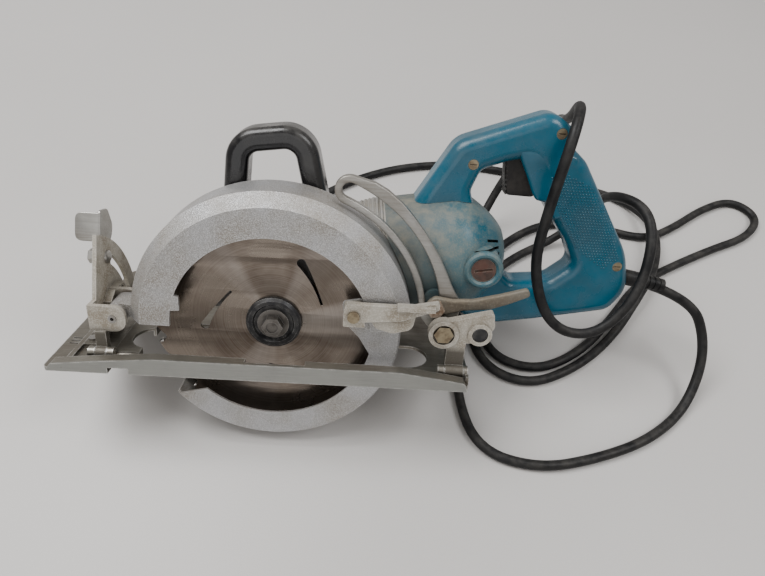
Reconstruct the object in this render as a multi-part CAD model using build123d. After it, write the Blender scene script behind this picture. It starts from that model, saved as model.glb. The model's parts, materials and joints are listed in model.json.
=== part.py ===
from build123d import *
import os
from math import atan2, cos, degrees, pi, radians, sin, tan

# Circular saw, blade on the left of an inclined hypoid motor, standing as it is put down:
# leaning on the lower guard and on the right-hand edge of its base.
# Everything is drawn upright first: +X to the rear handle, +Y to the motor side, +Z up from the
# sole, with the arbor axis along Y through the origin at the middle of the blade.
# One lean and one shift at the end bring the whole saw to its standing place.

# ---- blade and spindle ----
blade_diameter = 185.0
blade_plate = 1.8
tooth_count = 24
tooth_depth = 6.5
kerf = 2.4
arbor_bore_radius = 7.94
max_cut_depth = 60.7
flange_radius = 21.0
inner_flange_thickness = 5.0
outer_flange_thickness = 4.6
spindle_radius = 7.5
running_fit = 0.05
seat_gap = 0.3

# ---- guards ----
guard_rim_radius = blade_diameter / 2 + 12.5
guard_opening_radius = guard_rim_radius - 31.0
guard_front = -18.6
guard_back = 20.0
guard_wall = 2.4
guard_bevel = 9.0
lower_guard_radius = blade_diameter / 2 + 4.3
lower_guard_opening = lower_guard_radius - 20.8
lower_guard_front = -14.55
lower_guard_back = 14.5
lower_guard_wall = 1.8
lower_guard_start = 219.6
lower_guard_end = 372.0
guard_hub_radius = 21.0
guard_travel = 116.0

# ---- drive ----
motor_y = 58.0
motor_tilt = 10.0
hypoid_offset = 20.0
motor_radius = 49.0
motor_wall = 3.2
motor_front = 93.0
motor_end = 191.0
brush_station = 163.0
core_radius = 25.5
core_start = 111.0
core_length = 42.0
armature_shaft_radius = 5.0
ring_gear_teeth = 32
pinion_teeth = 6
ring_gear_radius = 24.0
ring_gear_face = 52.0
pinion_radius = 6.93
housing_drum_radius = 28.0
housing_wall = 3.4
drum_end = 86.0

# ---- base and depth adjustment ----
sole = max_cut_depth - blade_diameter / 2
base_front = -163.0
base_rear = 150.0
base_left = -36.5
base_right = 138.0
base_thickness = 2.8
rail_width = 9.0
rail_height = 13.8
lip_height = 8.0
slot_left = -24.0
slot_right = 38.5
slot_half_length = blade_diameter / 2 + 6.5
pivot_x = -guard_rim_radius - 11.0
pivot_z = 3.0
link_slot_radius = guard_rim_radius + 7.3
link_slot_x = 11.0
link_slot_z = 3.5
link_pin_x = link_slot_x + link_slot_radius + 5.2
link_pin_z = 6.0
link_slot_width = 7.6
link_front = 1.5
link_thickness = 6.0
link_wall = 6.2
link_slot_sweep = 57.6
depth_bolt_angle = 9.0
bevel_y = -20.0
bevel_z = sole + 7.8
bevel_slot_radius = 72.5
bevel_bolt_angle = 56.0
bevel_travel = 45.0
depth_travel = 26.0

# ---- handles and cord ----
handle_width = 32.0
handle_wall = 3.0
handle_round = 9.0
front_handle_y = 37.0
front_handle_width = 26.0
front_handle_depth = 17.0
cord_diameter = 8.5

nodes = {}


def ring(outer, inner):
    return Circle(outer) - Circle(inner)


def across(sketch, y0, y1):
    # a prism whose outline lies in X and Z, from y0 to y1
    return extrude(Plane.XZ.offset(-y1) * sketch, amount=y1 - y0)


def along(sketch, x0, x1):
    # a prism whose outline lies in Y and Z, from x0 to x1
    return extrude(Plane.YZ.offset(x0) * sketch, amount=x1 - x0)


def upward(sketch, z0, z1):
    # a prism whose outline lies in X and Y, from z0 to z1
    return extrude(Plane.XY.offset(z0) * sketch, amount=z1 - z0)


def rod_y(radius, y0, y1, x=0.0, z=0.0):
    return across(Pos(x, z) * Circle(radius), y0, y1)


def rod_x(radius, x0, x1, y=0.0, z=0.0):
    return along(Pos(y, z) * Circle(radius), x0, x1)


def block(x0, x1, y0, y1, z0, z1):
    return Pos((x0 + x1) / 2, (y0 + y1) / 2, (z0 + z1) / 2) * Box(x1 - x0, y1 - y0, z1 - z0)


def polygon(*points):
    return make_face(Polyline(*points, close=True))


def outline(*corners):
    # a closed outline from corners given as x, y and corner radius
    count = len(corners)
    bends = []
    for i in range(count):
        corner = Vector(*corners[i][:2])
        back = Vector(*corners[i - 1][:2]) - corner
        on = Vector(*corners[(i + 1) % count][:2]) - corner
        half = radians(back.get_angle(on) / 2)
        reach = min(corners[i][2] / tan(half), 0.49 * back.length, 0.49 * on.length)
        radius = reach * tan(half)
        middle = corner + (back.normalized() + on.normalized()).normalized() * (radius / sin(half) - radius)
        bends.append((corner + back.normalized() * reach, middle, corner + on.normalized() * reach))
    edges = []
    for i in range(count):
        edges.append(ThreePointArc(*bends[i]))
        edges.append(Line(bends[i][2], bends[(i + 1) % count][0]))
    return make_face(edges)


def spun_y(profile, start, end):
    # revolves a radius and Y profile about the arbor, from one angle above +X to another
    return Rot(0, -end, 0) * revolve(profile, Axis.Y, end - start)


def spun_x(*points):
    # revolves a station and radius profile about the motor axis
    return revolve(polygon(*points), Axis.X)


def polar(radius, angle, x=0.0, z=0.0):
    return (x + radius * cos(radians(angle)), z + radius * sin(radians(angle)))


def group(solids):
    return Compound([s.solid() for s in solids])


def guard_room(extra):
    # the space that the upper guard fills beside the drive, grown by a margin
    return rod_y(guard_rim_radius + extra, guard_front, guard_back + extra)


motor_place = Pos(0, motor_y, 0) * Rot(0, -motor_tilt, 0) * Pos(0, 0, hypoid_offset)
ring_gear_back = ring_gear_face - 12.0
depth_bolt_x, depth_bolt_z = polar(link_slot_radius, depth_bolt_angle, link_slot_x, link_slot_z)
bevel_bolt_y, bevel_bolt_z = polar(bevel_slot_radius, bevel_bolt_angle, bevel_y, bevel_z)
plate_top = sole + base_thickness


# ---- cutting group ----

def saw_blade():
    # hooked carbide teeth round a plate with four curved expansion slots
    outer = blade_diameter / 2
    pitch = 360 / tooth_count
    points = []
    for i in range(tooth_count):
        a = i * pitch
        points.append(polar(outer, a))
        points.append(polar(outer - 1.4, a + 0.42 * pitch))
        points.append(polar(outer - tooth_depth * 0.62, a + 0.66 * pitch))
        points.append(polar(outer - tooth_depth, a + 0.84 * pitch))
        points.append(polar(outer - tooth_depth * 0.8, a + 0.97 * pitch))
    disc = polygon(*points) - Circle(arbor_bore_radius)
    slot = SlotArc(CenterArc((8, 0), 46, 20, 44), 5)
    for i in range(4):
        disc -= Rot(0, 0, 90 * i + 25) * slot
    plate = across(disc, -blade_plate / 2, blade_plate / 2)
    return plate


def blade_tips():
    # one brazed carbide tip on the face of each tooth
    outer = blade_diameter / 2
    tips = []
    for i in range(tooth_count):
        a = i * 360 / tooth_count - 0.2
        face = polygon(polar(outer + 0.3, a), polar(outer, a + 1.4), polar(outer - 5, a + 1.1), polar(outer - 5, a))
        tips.append(across(face, -kerf / 2, kerf / 2))
    return tips


nodes["blade"] = saw_blade() + blade_tips()

half_plate = blade_plate / 2
inner_flange_back = half_plate + inner_flange_thickness
outer_flange_front = -half_plate - outer_flange_thickness


def spindle():
    shaft = rod_y(spindle_radius, inner_flange_back, drum_end - 2)
    pilot = rod_y(arbor_bore_radius - running_fit, -half_plate, inner_flange_back)
    shoulder = rod_y(spindle_radius + 3, inner_flange_back, inner_flange_back + 2)
    threaded = rod_y(4.0, -half_plate, inner_flange_back + 12)
    return shaft + pilot + shoulder - threaded


nodes["spindle"] = spindle()
flange_bore = arbor_bore_radius + running_fit
flange_face = across(ring(flange_radius, flange_bore), half_plate, inner_flange_back)
nodes["inner_flange"] = flange_face - across(ring(flange_radius - 6, flange_bore), half_plate, half_plate + 0.8)


def outer_flange():
    # a dished clamp washer with a bevelled rim
    profile = polygon(
        (4.3, -half_plate),
        (flange_radius, -half_plate),
        (flange_radius, outer_flange_front + 1.6),
        (flange_radius - 2, outer_flange_front),
        (flange_radius - 5, outer_flange_front),
        (flange_radius - 6.5, outer_flange_front + 1.8),
        (4.3, outer_flange_front + 1.8),
    )
    return revolve(profile, Axis.Y)


nodes["outer_flange"] = outer_flange()


def blade_bolt():
    # a flanged hexagon bolt that screws into the spindle
    seat = outer_flange_front + 1.8
    washer = rod_y(12.0, seat - 1.8, seat)
    head = across(RegularPolygon(8.1, 6), seat - 8.2, seat - 1.8)
    shank = rod_y(3.95, seat, inner_flange_back + 11)
    recess = rod_y(4.5, seat - 8.2, seat - 7.2)
    return washer + head + shank - recess


nodes["blade_bolt"] = blade_bolt()


# ---- drive ----

mesh_phase = 3.6


def crown_gear():
    # face teeth cut round a disc that is pressed on the spindle
    body = across(ring(ring_gear_radius, spindle_radius), ring_gear_back, ring_gear_face)
    dish = across(ring(ring_gear_radius - 7.5, spindle_radius + 3.5), ring_gear_face - 5, ring_gear_face)
    body -= dish
    cutter = polygon((-1.2, 3), (1.2, 3), (1.6, 5.5), (-1.6, 5.5))
    step = 360 / ring_gear_teeth
    gap = extrude(Plane.YZ * Rot(0, 0, -90) * Pos(0, ring_gear_face - 5.2) * cutter, amount=12)
    for i in range(ring_gear_teeth):
        body -= Rot(0, step * (i + 0.5) + mesh_phase, 0) * Pos(ring_gear_radius - 8.5, 0, 0) * gap
    return body


nodes["ring_gear"] = crown_gear()


def in_motor(solid):
    return motor_place * solid


def station_ring(outer, inner, s0, s1):
    return along(ring(outer, inner), s0, s1)


def hypoid_pinion():
    # six helical lobes beside the middle of the crown gear
    lobe = polygon((4.4, -1.1), (pinion_radius - 0.9, -0.4), (pinion_radius - 0.9, 0.4), (4.4, 1.1))
    section = Circle(5.2)
    for i in range(pinion_teeth):
        section += Rot(0, 0, i * 360 / pinion_teeth) * lobe
    lead = pinion_teeth * 2 * pi * 21.0 / ring_gear_teeth
    length = 11.0
    lobes = Solid.extrude_linear_with_rotation(
        section.face().outer_wire(), (0, 0, 0), (0, 0, length), 360 * length / lead
    )
    return Rot(0, 90, 0) * lobes


pinion_body = Pos(5, 0, 0) * hypoid_pinion() - along(Circle(armature_shaft_radius - 1), 4, 17)
nodes["pinion"] = in_motor(pinion_body)

core_end = core_start + core_length
shaft_steps = [
    (armature_shaft_radius - 1, -30, 20),
    (armature_shaft_radius, 20, 100),
    (armature_shaft_radius + 1, 100, 172),
    (armature_shaft_radius, 172, 181.5),
]
shaft = Part()
for radius, s0, s1 in shaft_steps:
    shaft += along(Circle(radius), s0, s1)
nodes["armature_shaft"] = in_motor(shaft)


def armature_core():
    stack = station_ring(core_radius, armature_shaft_radius + 1, core_start, core_end)
    for i in range(12):
        slot = along(Pos(core_radius - 3, 0) * Rectangle(8, 3.2), core_start, core_end)
        stack -= Rot(i * 30, 0, 0) * slot
    return stack


nodes["armature_core"] = in_motor(armature_core())


def commutator():
    bars = station_ring(14.0, armature_shaft_radius + 1, brush_station - 8, brush_station + 8)
    riser = station_ring(16.0, 13.0, brush_station - 8, brush_station - 5.5)
    return bars + riser


nodes["commutator"] = in_motor(commutator())


fan_radius = 32.5


def cooling_fan():
    # radial blades on a back plate, turning between the gear case and the motor
    hub = station_ring(9, armature_shaft_radius, 81, 92)
    plate = station_ring(fan_radius, 8.5, 89.5, 91)
    fan = hub + plate
    for i in range(10):
        vane = along(Pos(fan_radius - 13, 0) * Rot(0, 0, 18) * Rectangle(23, 1.6), 82, 89.6)
        fan += Rot(i * 36, 0, 0) * vane
    return fan


nodes["cooling_fan"] = in_motor(cooling_fan())

stator_radius = motor_radius - motor_wall - 3.6
stator_bore = core_radius + 1.2
inner_guard_room = guard_room(motor_wall + 2 * seat_gap)
stator = in_motor(station_ring(stator_radius, stator_bore, core_start - 1, core_end + 0.4))
nodes["stator"] = stator - inner_guard_room
coil_ring = ring(stator_radius - 4, core_radius + 4)
coils = []
for s0, s1 in ((core_start - 7, core_start - 1), (core_end + 1, core_end + 3.6)):
    coils.append(in_motor(along(coil_ring, s0, s1)) - inner_guard_room)
nodes["field_coils"] = group(coils)

pinion_bearing_outer = 9.5
front_bearing_outer = 15.0
rear_bearing_outer = 11.0


def bearing(outer, bore, s0, s1):
    race = ring(outer, bore + running_fit)
    groove = ring(outer - 2.2, bore + 2.2)
    return along(race, s0, s1) - along(groove, s0 - 1, s0 + 0.8) - along(groove, s1 - 0.8, s1 + 1)


nodes["pinion_bearing"] = in_motor(bearing(pinion_bearing_outer, armature_shaft_radius - 1, -30, -22))
nodes["front_motor_bearing"] = in_motor(bearing(front_bearing_outer, armature_shaft_radius, 26, 36))
nodes["rear_motor_bearing"] = in_motor(bearing(rear_bearing_outer, armature_shaft_radius, 172.5, 180.5))

nose_start = 7.5
spindle_bearing_outer = 16.0
end_bearing_outer = 14.0


def bearing_y(outer, bore, y0, y1):
    groove = ring(outer - 2.6, bore + 2.6)
    race = across(ring(outer, bore + running_fit), y0, y1)
    return race - across(groove, y0 - 1, y0 + 0.8) - across(groove, y1 - 0.8, y1 + 1)


nodes["spindle_bearing"] = bearing_y(spindle_bearing_outer, spindle_radius, 22, 33)
nodes["spindle_end_bearing"] = bearing_y(end_bearing_outer, spindle_radius, drum_end - 14, drum_end - 3)


deck_top = 66.0


lock_place = in_motor(Pos(60, 0, 44))
lock_travel = 4.0


def gear_housing():
    # cast case: a drum round the crown gear, a tube round the pinion and a bell to the motor
    tube = in_motor(spun_x((-34, 0), (-34, 12.5), (-32.5, 14), (6, 27), (34, 27), (66, 46), (84, motor_radius),
                           (motor_front, motor_radius), (motor_front, 0)))
    drum = rod_y(housing_drum_radius, guard_back, drum_end)
    nose = rod_y(guard_hub_radius, nose_start, guard_back)
    nose -= across(ring(guard_hub_radius + 1, guard_hub_radius - 0.5), 8.2, 9.7)
    web = across(polygon((-46, deck_top), (-40, 0), (40, 0), (56, deck_top)), guard_back, guard_back + 6)
    deck = block(-46, 46, guard_back, front_handle_y + 14, deck_top - 6, deck_top)
    brace = across(polygon((-16, 20), (24, 20), (30, 62), (-22, 62)), guard_back, front_handle_y + 8)
    case = tube - guard_room(seat_gap) - block(-50, 48, 0, front_handle_y + 15, deck_top, 200)
    case += drum + nose + web + deck + brace
    case += lock_place * upward(RectangleRounded(19, 12.6, 3), -lock_travel - 4, 0)
    case -= lock_place * upward(RectangleRounded(13.6, 9.6, 2.8), -lock_travel - 0.3, 20)
    wall = housing_wall
    hollow = in_motor(spun_x((-12.8, 0), (-12.8, 14), (8, 27 - wall), (25.8, 27 - wall),
                             (25.8, front_bearing_outer + seat_gap), (36.2, front_bearing_outer + seat_gap),
                             (40, 27 - wall), (66, 46 - wall - 1), (80, motor_radius - 6),
                             (motor_front, motor_radius - 6), (motor_front, 0))) - guard_room(seat_gap + wall)
    pocket = in_motor(along(Circle(pinion_bearing_outer + seat_gap), -30.3, -12))
    shaft_way = in_motor(along(Circle(armature_shaft_radius + 0.6), -25, 30))
    gear_room = rod_y(housing_drum_radius - housing_wall, 36, drum_end)
    bearing_seat = rod_y(spindle_bearing_outer + seat_gap, 21.8, 37)
    spindle_way = rod_y(spindle_radius + 3.6, nose_start - 1, 30)
    for room in (hollow, pocket, shaft_way, gear_room, bearing_seat, spindle_way):
        case -= room
    return case - lock_place * Cylinder(2.7, 40)


cover_screw_angles = (30, 110, 205, 335)
gear_case = gear_housing()
cover_screws = []
for angle in cover_screw_angles:
    screw_x, screw_z = polar(housing_drum_radius - 1, angle)
    gear_case += rod_y(5, drum_end - 10, drum_end, screw_x, screw_z) - rod_y(end_bearing_outer + 4, 60, 90)
    gear_case -= rod_y(2.05, drum_end - 9, drum_end + 1, screw_x, screw_z)
    cover_head = rod_y(3.8, drum_end + 4, drum_end + 6.4, screw_x, screw_z)
    cover_head -= block(screw_x - 4, screw_x + 4, drum_end + 5.6, drum_end + 7, screw_z - 0.6, screw_z + 0.6)
    cover_screws.append(cover_head + rod_y(2.0, drum_end - 8, drum_end + 4, screw_x, screw_z))
nodes["gear_cover_screws"] = group(cover_screws)


def gear_cover():
    # the cap on the motor side of the drum carries the end of the spindle
    cap = rod_y(housing_drum_radius, drum_end, drum_end + 4)
    for angle in cover_screw_angles:
        x, z = polar(housing_drum_radius - 1, angle)
        cap += rod_y(5, drum_end, drum_end + 4, x, z)
    cap -= rod_y(end_bearing_outer - 3, drum_end - 1, drum_end + 1.5)
    seat = rod_y(end_bearing_outer + 3, drum_end - 13, drum_end)
    seat -= rod_y(end_bearing_outer + seat_gap, drum_end - 14, drum_end)
    cap += seat
    for angle in cover_screw_angles:
        x, z = polar(housing_drum_radius - 1, angle)
        cap -= rod_y(2.1, drum_end - 1, drum_end + 5, x, z)
    return cap


nodes["gear_cover"] = gear_cover()


# ---- motor housing ----

def dome(radius_cut, end_cut):
    # half profile of the motor body with its rounded rear end, shrunk by the two cuts
    r = motor_radius - radius_cut
    end = motor_end - end_cut
    front = Line((motor_front, 0), (motor_front, r))
    barrel = Line((motor_front, r), (end - 46, r))
    crown = Spline((end - 46, r), (end - 23, r * 0.76), (end - 6, r * 0.3), tangents=((1, -0.05), (0.45, -1)))
    cap = Line((end - 6, r * 0.3), (end - 5, 0))
    back = Line((end - 5, 0), (motor_front, 0))
    return make_face([front, barrel, crown, cap, back])


def motor_housing():
    # moulded barrel with brush bosses, rear air slots and the boss for the depth bolt
    outside = revolve(dome(0, 0), Axis.X)
    inside = revolve(dome(motor_wall, motor_wall), Axis.X)
    boss = rod_y(15, -motor_radius, motor_radius, brush_station)
    shell = outside + boss
    shell -= inside
    bearing_cup = along(Circle(rear_bearing_outer + 3), 172.5, 184)
    spokes = Part()
    ledges = Part()
    for i in range(4):
        spokes += Rot(45 + 90 * i, 0, 0) * block(172.5, 184, -2, 2, rear_bearing_outer + 2, 40)
        ledges += Rot(45 + 90 * i, 0, 0) * block(motor_front + 6, core_end, -4, 4, stator_radius + seat_gap, 47)
    shell += (bearing_cup + spokes + ledges) & outside
    shell -= along(Circle(rear_bearing_outer + seat_gap), 170, 180.8)
    shell -= along(Circle(armature_shaft_radius + 0.8), 170, 182.2)
    shell -= rod_y(9.6, -motor_radius - 1, motor_radius + 1, brush_station)
    for side in (-1, 1):
        for i in range(6):
            slit = block(motor_end - 34, motor_end - 12, -1.1, 1.1, 20, 60)
            shell -= Rot(side * (62 + 11 * i), 0, 0) * slit
    return shell


motor_core = revolve(dome(motor_wall, motor_wall), Axis.X)
wall_by_guard = in_motor(motor_core) & (guard_room(motor_wall + seat_gap) - guard_room(seat_gap))
motor_shell = in_motor(motor_housing()) - guard_room(seat_gap) + wall_by_guard
depth_boss = rod_y(9, link_front + link_thickness + seat_gap, 24, depth_bolt_x, depth_bolt_z)
depth_boss -= in_motor(motor_core) - guard_room(motor_wall + seat_gap)
depth_hole = rod_y(2.6, 0, 16, depth_bolt_x, depth_bolt_z)
nodes["motor_housing"] = (motor_shell + depth_boss) - depth_hole


def brush_cap(side):
    # slotted bakelite screw cap in a metal ring
    face = side * motor_radius
    body = rod_y(9.6 - seat_gap, min(face, face - side * 7), max(face, face - side * 7), brush_station)
    slot = block(brush_station - 7, brush_station + 7, face - 1.6, face + 1.6, -1, 1)
    return in_motor(body - slot)


nodes["brush_caps"] = group([brush_cap(-1), brush_cap(1)])


def brush_holder(side):
    # square brass guide tube, carried in the brush boss
    y0 = side * 17
    y1 = side * (motor_radius - 7.3)
    guide = block(brush_station - 6, brush_station + 6, min(y0, y1), max(y0, y1), -4.5, 4.5)
    bore = block(brush_station - 5, brush_station + 5, min(y0, y1) - 1, max(y0, y1) + 1, -3.5, 3.5)
    return in_motor(guide - bore)


def carbon_brush(side):
    y0 = side * (14 + seat_gap)
    y1 = side * 31
    return in_motor(block(brush_station - 4.9, brush_station + 4.9, min(y0, y1), max(y0, y1), -3.4, 3.4))


nodes["brush_holders"] = group([brush_holder(-1), brush_holder(1)])
nodes["carbon_brushes"] = group([carbon_brush(-1), carbon_brush(1)])


# ---- D handle ----

handle_y0 = motor_y - handle_width / 2
handle_y1 = motor_y + handle_width / 2
grip_outline = outline(
    (88, 62, 2),
    (131, 136, 22),
    (200, 162, 16),
    (218, 150, 10.5),
    (220, 136, 10),
    (232, 126, 24),
    (280, 54, 60),
    (289, 22, 26),
    (276, 2, 16),
    (214, -11, 80),
    (172, -18, 30),
    (148, -8, 8),
    (140, 30, 4),
)
grip_window = outline(
    (146, 98, 10),
    (152, 115, 10),
    (171, 122.5, 14),
    (189, 127, 8),
    (202, 108, 14),
    (206, 90, 20),
    (229, 60, 40),
    (238, 42, 9),
    (220, 26, 14),
    (190, 23, 8),
    (166, 42, 6),
)
handle_face = grip_outline - grip_window
handle_screws_at = ((144.5, 120), (207, 147), (273, 44))
trigger_reach = 6.0
trigger_width = 14.0
pull_x = cos(radians(33.6))
pull_z = sin(radians(33.6))


def trigger_outline():
    return outline(
        (172, 128, 3),
        (176, 112, 12),
        (179, 92, 5),
        (197, 90, 4),
        (206, 96, 3),
        (206, 112, 6),
        (194, 134, 6),
        (178, 136, 3),
    )


cord_exit = (287.4, motor_y, 29.3)
cord_lean = 100.0
bore_of_guard = cord_diameter / 2 + 0.1


def at_cord_exit(solid):
    return Pos(*cord_exit) * Rot(0, cord_lean, 0) * solid


def trigger_way():
    # room swept by the trigger between its two ends
    half = trigger_width / 2 + seat_gap
    way = Part()
    for step in (0, 0.35, 0.7, 1.05):
        at = Pos(pull_x * trigger_reach * step, 0, pull_z * trigger_reach * step)
        way += at * across(offset(trigger_outline(), seat_gap), motor_y - half, motor_y + half)
    return way


def handle_shell():
    # a hollow D grip with rounded edges, saddled on the motor body
    solid = fillet(across(handle_face, handle_y0, handle_y1).faces().filter_by(Axis.Y).edges(), handle_round)
    room = across(offset(handle_face, -handle_wall), handle_y0 + handle_wall, handle_y1 - handle_wall)
    bosses = Part()
    for x, z in handle_screws_at:
        bosses += rod_y(5, handle_y0 + 1, handle_y1 - 1, x, z)
    shell = solid - room + (bosses & solid)
    shell -= in_motor(revolve(dome(-seat_gap, -seat_gap), Axis.X))
    for x, z in handle_screws_at:
        shell -= rod_y(1.8, handle_y0 - 1, handle_y1 - 3, x, z)
        shell -= rod_y(4.2, handle_y0 - 1, handle_y0 + 2.6, x, z)
    return shell - trigger_way() - at_cord_exit(Cylinder(7.1, 30))


grip = handle_shell()
left_side = block(60, 320, 0, motor_y, -60, 200)
nodes["handle_left"] = grip & left_side
nodes["handle_right"] = grip - left_side


def handle_screws():
    screws = []
    for x, z in handle_screws_at:
        head = rod_y(3.9, handle_y0 + 0.4, handle_y0 + 2.3, x, z)
        shank = rod_y(1.75, handle_y0 + 2.3, handle_y1 - 5, x, z)
        cross = block(x - 2.6, x + 2.6, handle_y0 + 0.2, handle_y0 + 1.2, z - 0.5, z + 0.5)
        screws.append(head + shank - cross)
    return screws


nodes["handle_screws"] = group(handle_screws())


def trigger():
    # ribbed paddle; its stem runs inside the grip
    half = trigger_width / 2
    paddle = across(trigger_outline(), motor_y - half, motor_y + half)
    for i in range(5):
        z = 97 + 5 * i
        groove = across(Pos(174.5 + 0.1 * i, z) * Circle(1.5), motor_y - half - 1, motor_y + half + 1)
        paddle -= groove
    return paddle


nodes["trigger"] = trigger()
switch_box = Pos(214.5, motor_y, 124) * Rot(0, 56, 0) * Box(17, handle_width - 2 * handle_wall - 2 * seat_gap, 15)
nodes["switch_body"] = switch_box - trigger_way()


def cord_guard():
    # tapered rubber sleeve with ridges, held by a collar inside the wall of the grip
    sleeve = revolve(Plane.XZ * polygon(
        (bore_of_guard, -12.4),
        (9.0, -12.4),
        (9.0, -10.2),
        (6.8, -10.2),
        (6.8, 8),
        (5.6, 36),
        (bore_of_guard, 36),
    ), Axis.Z)
    for i in range(5):
        sleeve -= Pos(0, 0, 11 + 5 * i) * ring_groove(6.9 - 0.2 * i)
    return sleeve


def ring_groove(radius):
    return Cylinder(radius + 1, 1.6) - Cylinder(radius - 0.9, 3)


nodes["cord_guard"] = at_cord_exit(cord_guard())


# ---- front handle ----

feet_at = (-35, 33)


def front_handle():
    # an arched grip on two feet that stand on the deck of the gear case
    y = front_handle_y
    path = FilletPolyline((-35, y, deck_top), (-29, y, 129), (18, y, 136), (33, y, deck_top), radius=17)
    start = Plane(path @ 0, x_dir=(1, 0, 0), z_dir=path % 0)
    section = start * RectangleRounded(front_handle_depth, front_handle_width, 6)
    arch = sweep(section, path) - block(-80, 80, 0, 80, deck_top - 12, deck_top)
    for x in feet_at:
        foot = RectangleRounded(27, front_handle_width + 2, 5)
        arch += upward(Pos(x, y) * foot, deck_top, deck_top + 6)
    for x in feet_at:
        arch -= Pos(x, y, deck_top) * Cylinder(3.1, 44)
    return arch


nodes["front_handle"] = front_handle()
studs = []
case_holes = Part()
for x in feet_at:
    studs.append(Pos(x, front_handle_y, deck_top + 6) * Cylinder(3.0, 30))
    case_holes += Pos(x, front_handle_y, deck_top) * Cylinder(3.1, 20)
nodes["front_handle_studs"] = group(studs)


# ---- upper guard ----

guard_bolts_at = (polar(36, 35), polar(36, 90), polar(36, 145))


def upper_guard():
    # cast case over the top half of the blade, open at the front face, with a bevelled rim
    r = guard_rim_radius
    w = guard_wall
    front = guard_front
    bevel_r = r - guard_bevel
    shell = spun_y(polygon(
        (guard_opening_radius, front),
        (bevel_r, front),
        (r, front + guard_bevel + 0.6),
        (r, guard_back),
        (guard_hub_radius + 1, guard_back),
        (guard_hub_radius + 1, guard_back - 3),
        (r - w, guard_back - 3),
        (r - w, front + guard_bevel + 1.4),
        (bevel_r - 1, front + w),
        (guard_opening_radius, front + w),
    ), 4, 179.5)
    back = across(ring(34, guard_hub_radius + 1), guard_back - 3, guard_back)
    stop = across(polygon((-78, 13), (-66, 14), (-66, 25), (-73, 27)), front, front + w)
    lug = rod_y(8, -12, 12, pivot_x, pivot_z) + block(pivot_x, 1.6 - guard_rim_radius, -8, 12, 0.5, pivot_z + 8)
    guard = shell + back + stop + lug - rod_y(3.1, -20, 20, pivot_x, pivot_z)
    for x, z in guard_bolts_at:
        guard -= rod_y(2.7, 10, 30, x, z)
    return guard


nodes["upper_guard"] = upper_guard()
case_threads = Part()
for x, z in guard_bolts_at:
    case_threads += rod_y(2.5, guard_back - 1, guard_back + 5, x, z)
nodes["gear_housing"] = gear_case - case_holes - case_threads
nodes["guard_screws"] = group(
    [rod_y(2.45, guard_back - 3, guard_back + 4.6, x, z) + rod_y(4.2, 15.4, 17, x, z) for x, z in guard_bolts_at]
)


# ---- lower guard ----

def lower_guard():
    # swinging guard: narrow front wall, rim and full back wall on a hub round the case nose
    w = lower_guard_wall
    r = lower_guard_radius
    front = lower_guard_front
    back = lower_guard_back
    shell = spun_y(polygon(
        (lower_guard_opening, front),
        (r - 1.5, front),
        (r, front + 1.5),
        (r, back),
        (guard_hub_radius + running_fit, back),
        (guard_hub_radius + running_fit, back - w),
        (r - w, back - w),
        (r - w, front + w),
        (lower_guard_opening, front + w),
    ), lower_guard_start, lower_guard_end)
    hub = across(ring(26, guard_hub_radius + running_fit), back - 4.5, back)
    ear = across(outline((76, -20, 2), (66, -3, 8), (55, 9, 6), (52, 27, 3), (66, 30, 3), (80, 17, 2), (84, -10, 2)),
                 front, front + w)
    tip = across(polygon((-40, -54), (-90, -66), (-100, -40), (-60, -20)), front - 1, front + w + 1)
    return shell + hub + ear - tip


nodes["lower_guard"] = lower_guard()
nodes["guard_retaining_ring"] = rod_y(23.5, 8.3, 9.6) - rod_y(guard_hub_radius - 0.4, 8, 10)
spring_coil = revolve(Pos(30, 15.75) * Circle(0.75), Axis.Y, 330)
nodes["guard_spring"] = spring_coil


def guard_lever():
    # retracting lever: a clamp block on the guard and a broad arm across the upper guard
    front = lower_guard_front
    base = across(outline((53.5, 13, 1.5), (54, 28, 1.5), (66.5, 28, 1.5), (70, 13, 1.5)), -27, front)
    arm = across(outline((55, 16, 2), (55, 31, 2), (100, 31, 3), (122, 36, 1.5), (122, 30.5, 1.5), (96, 20, 8)),
                 -27, -22)
    palm = across(outline((72, 24, 2), (76, 12, 8), (90, 8, 8), (104, 12, 7), (106, 24, 2)), -24.5, -20.8)
    ledge = block(92, 119, -30.5, -24, 29.5, 33)
    lever = base + arm + palm + ledge
    return lever - rod_y(2.2, -30, -10, 61, 21.5)


nodes["guard_lever"] = guard_lever()
nodes["guard_lever_screw"] = rod_y(2.1, -27, lower_guard_front + 0.6, 61, 21.5) + rod_y(4.4, -29.4, -27, 61, 21.5)
nodes["lower_guard"] -= rod_y(2.2, -20, -10, 61, 21.5)


# ---- depth frame: the brackets that carry the base ----

ear_inner = 13.5
ear_outer = 17.0
bracket_x0 = pivot_x - 17.5
bracket_x1 = bracket_x0 + 3.0


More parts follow.
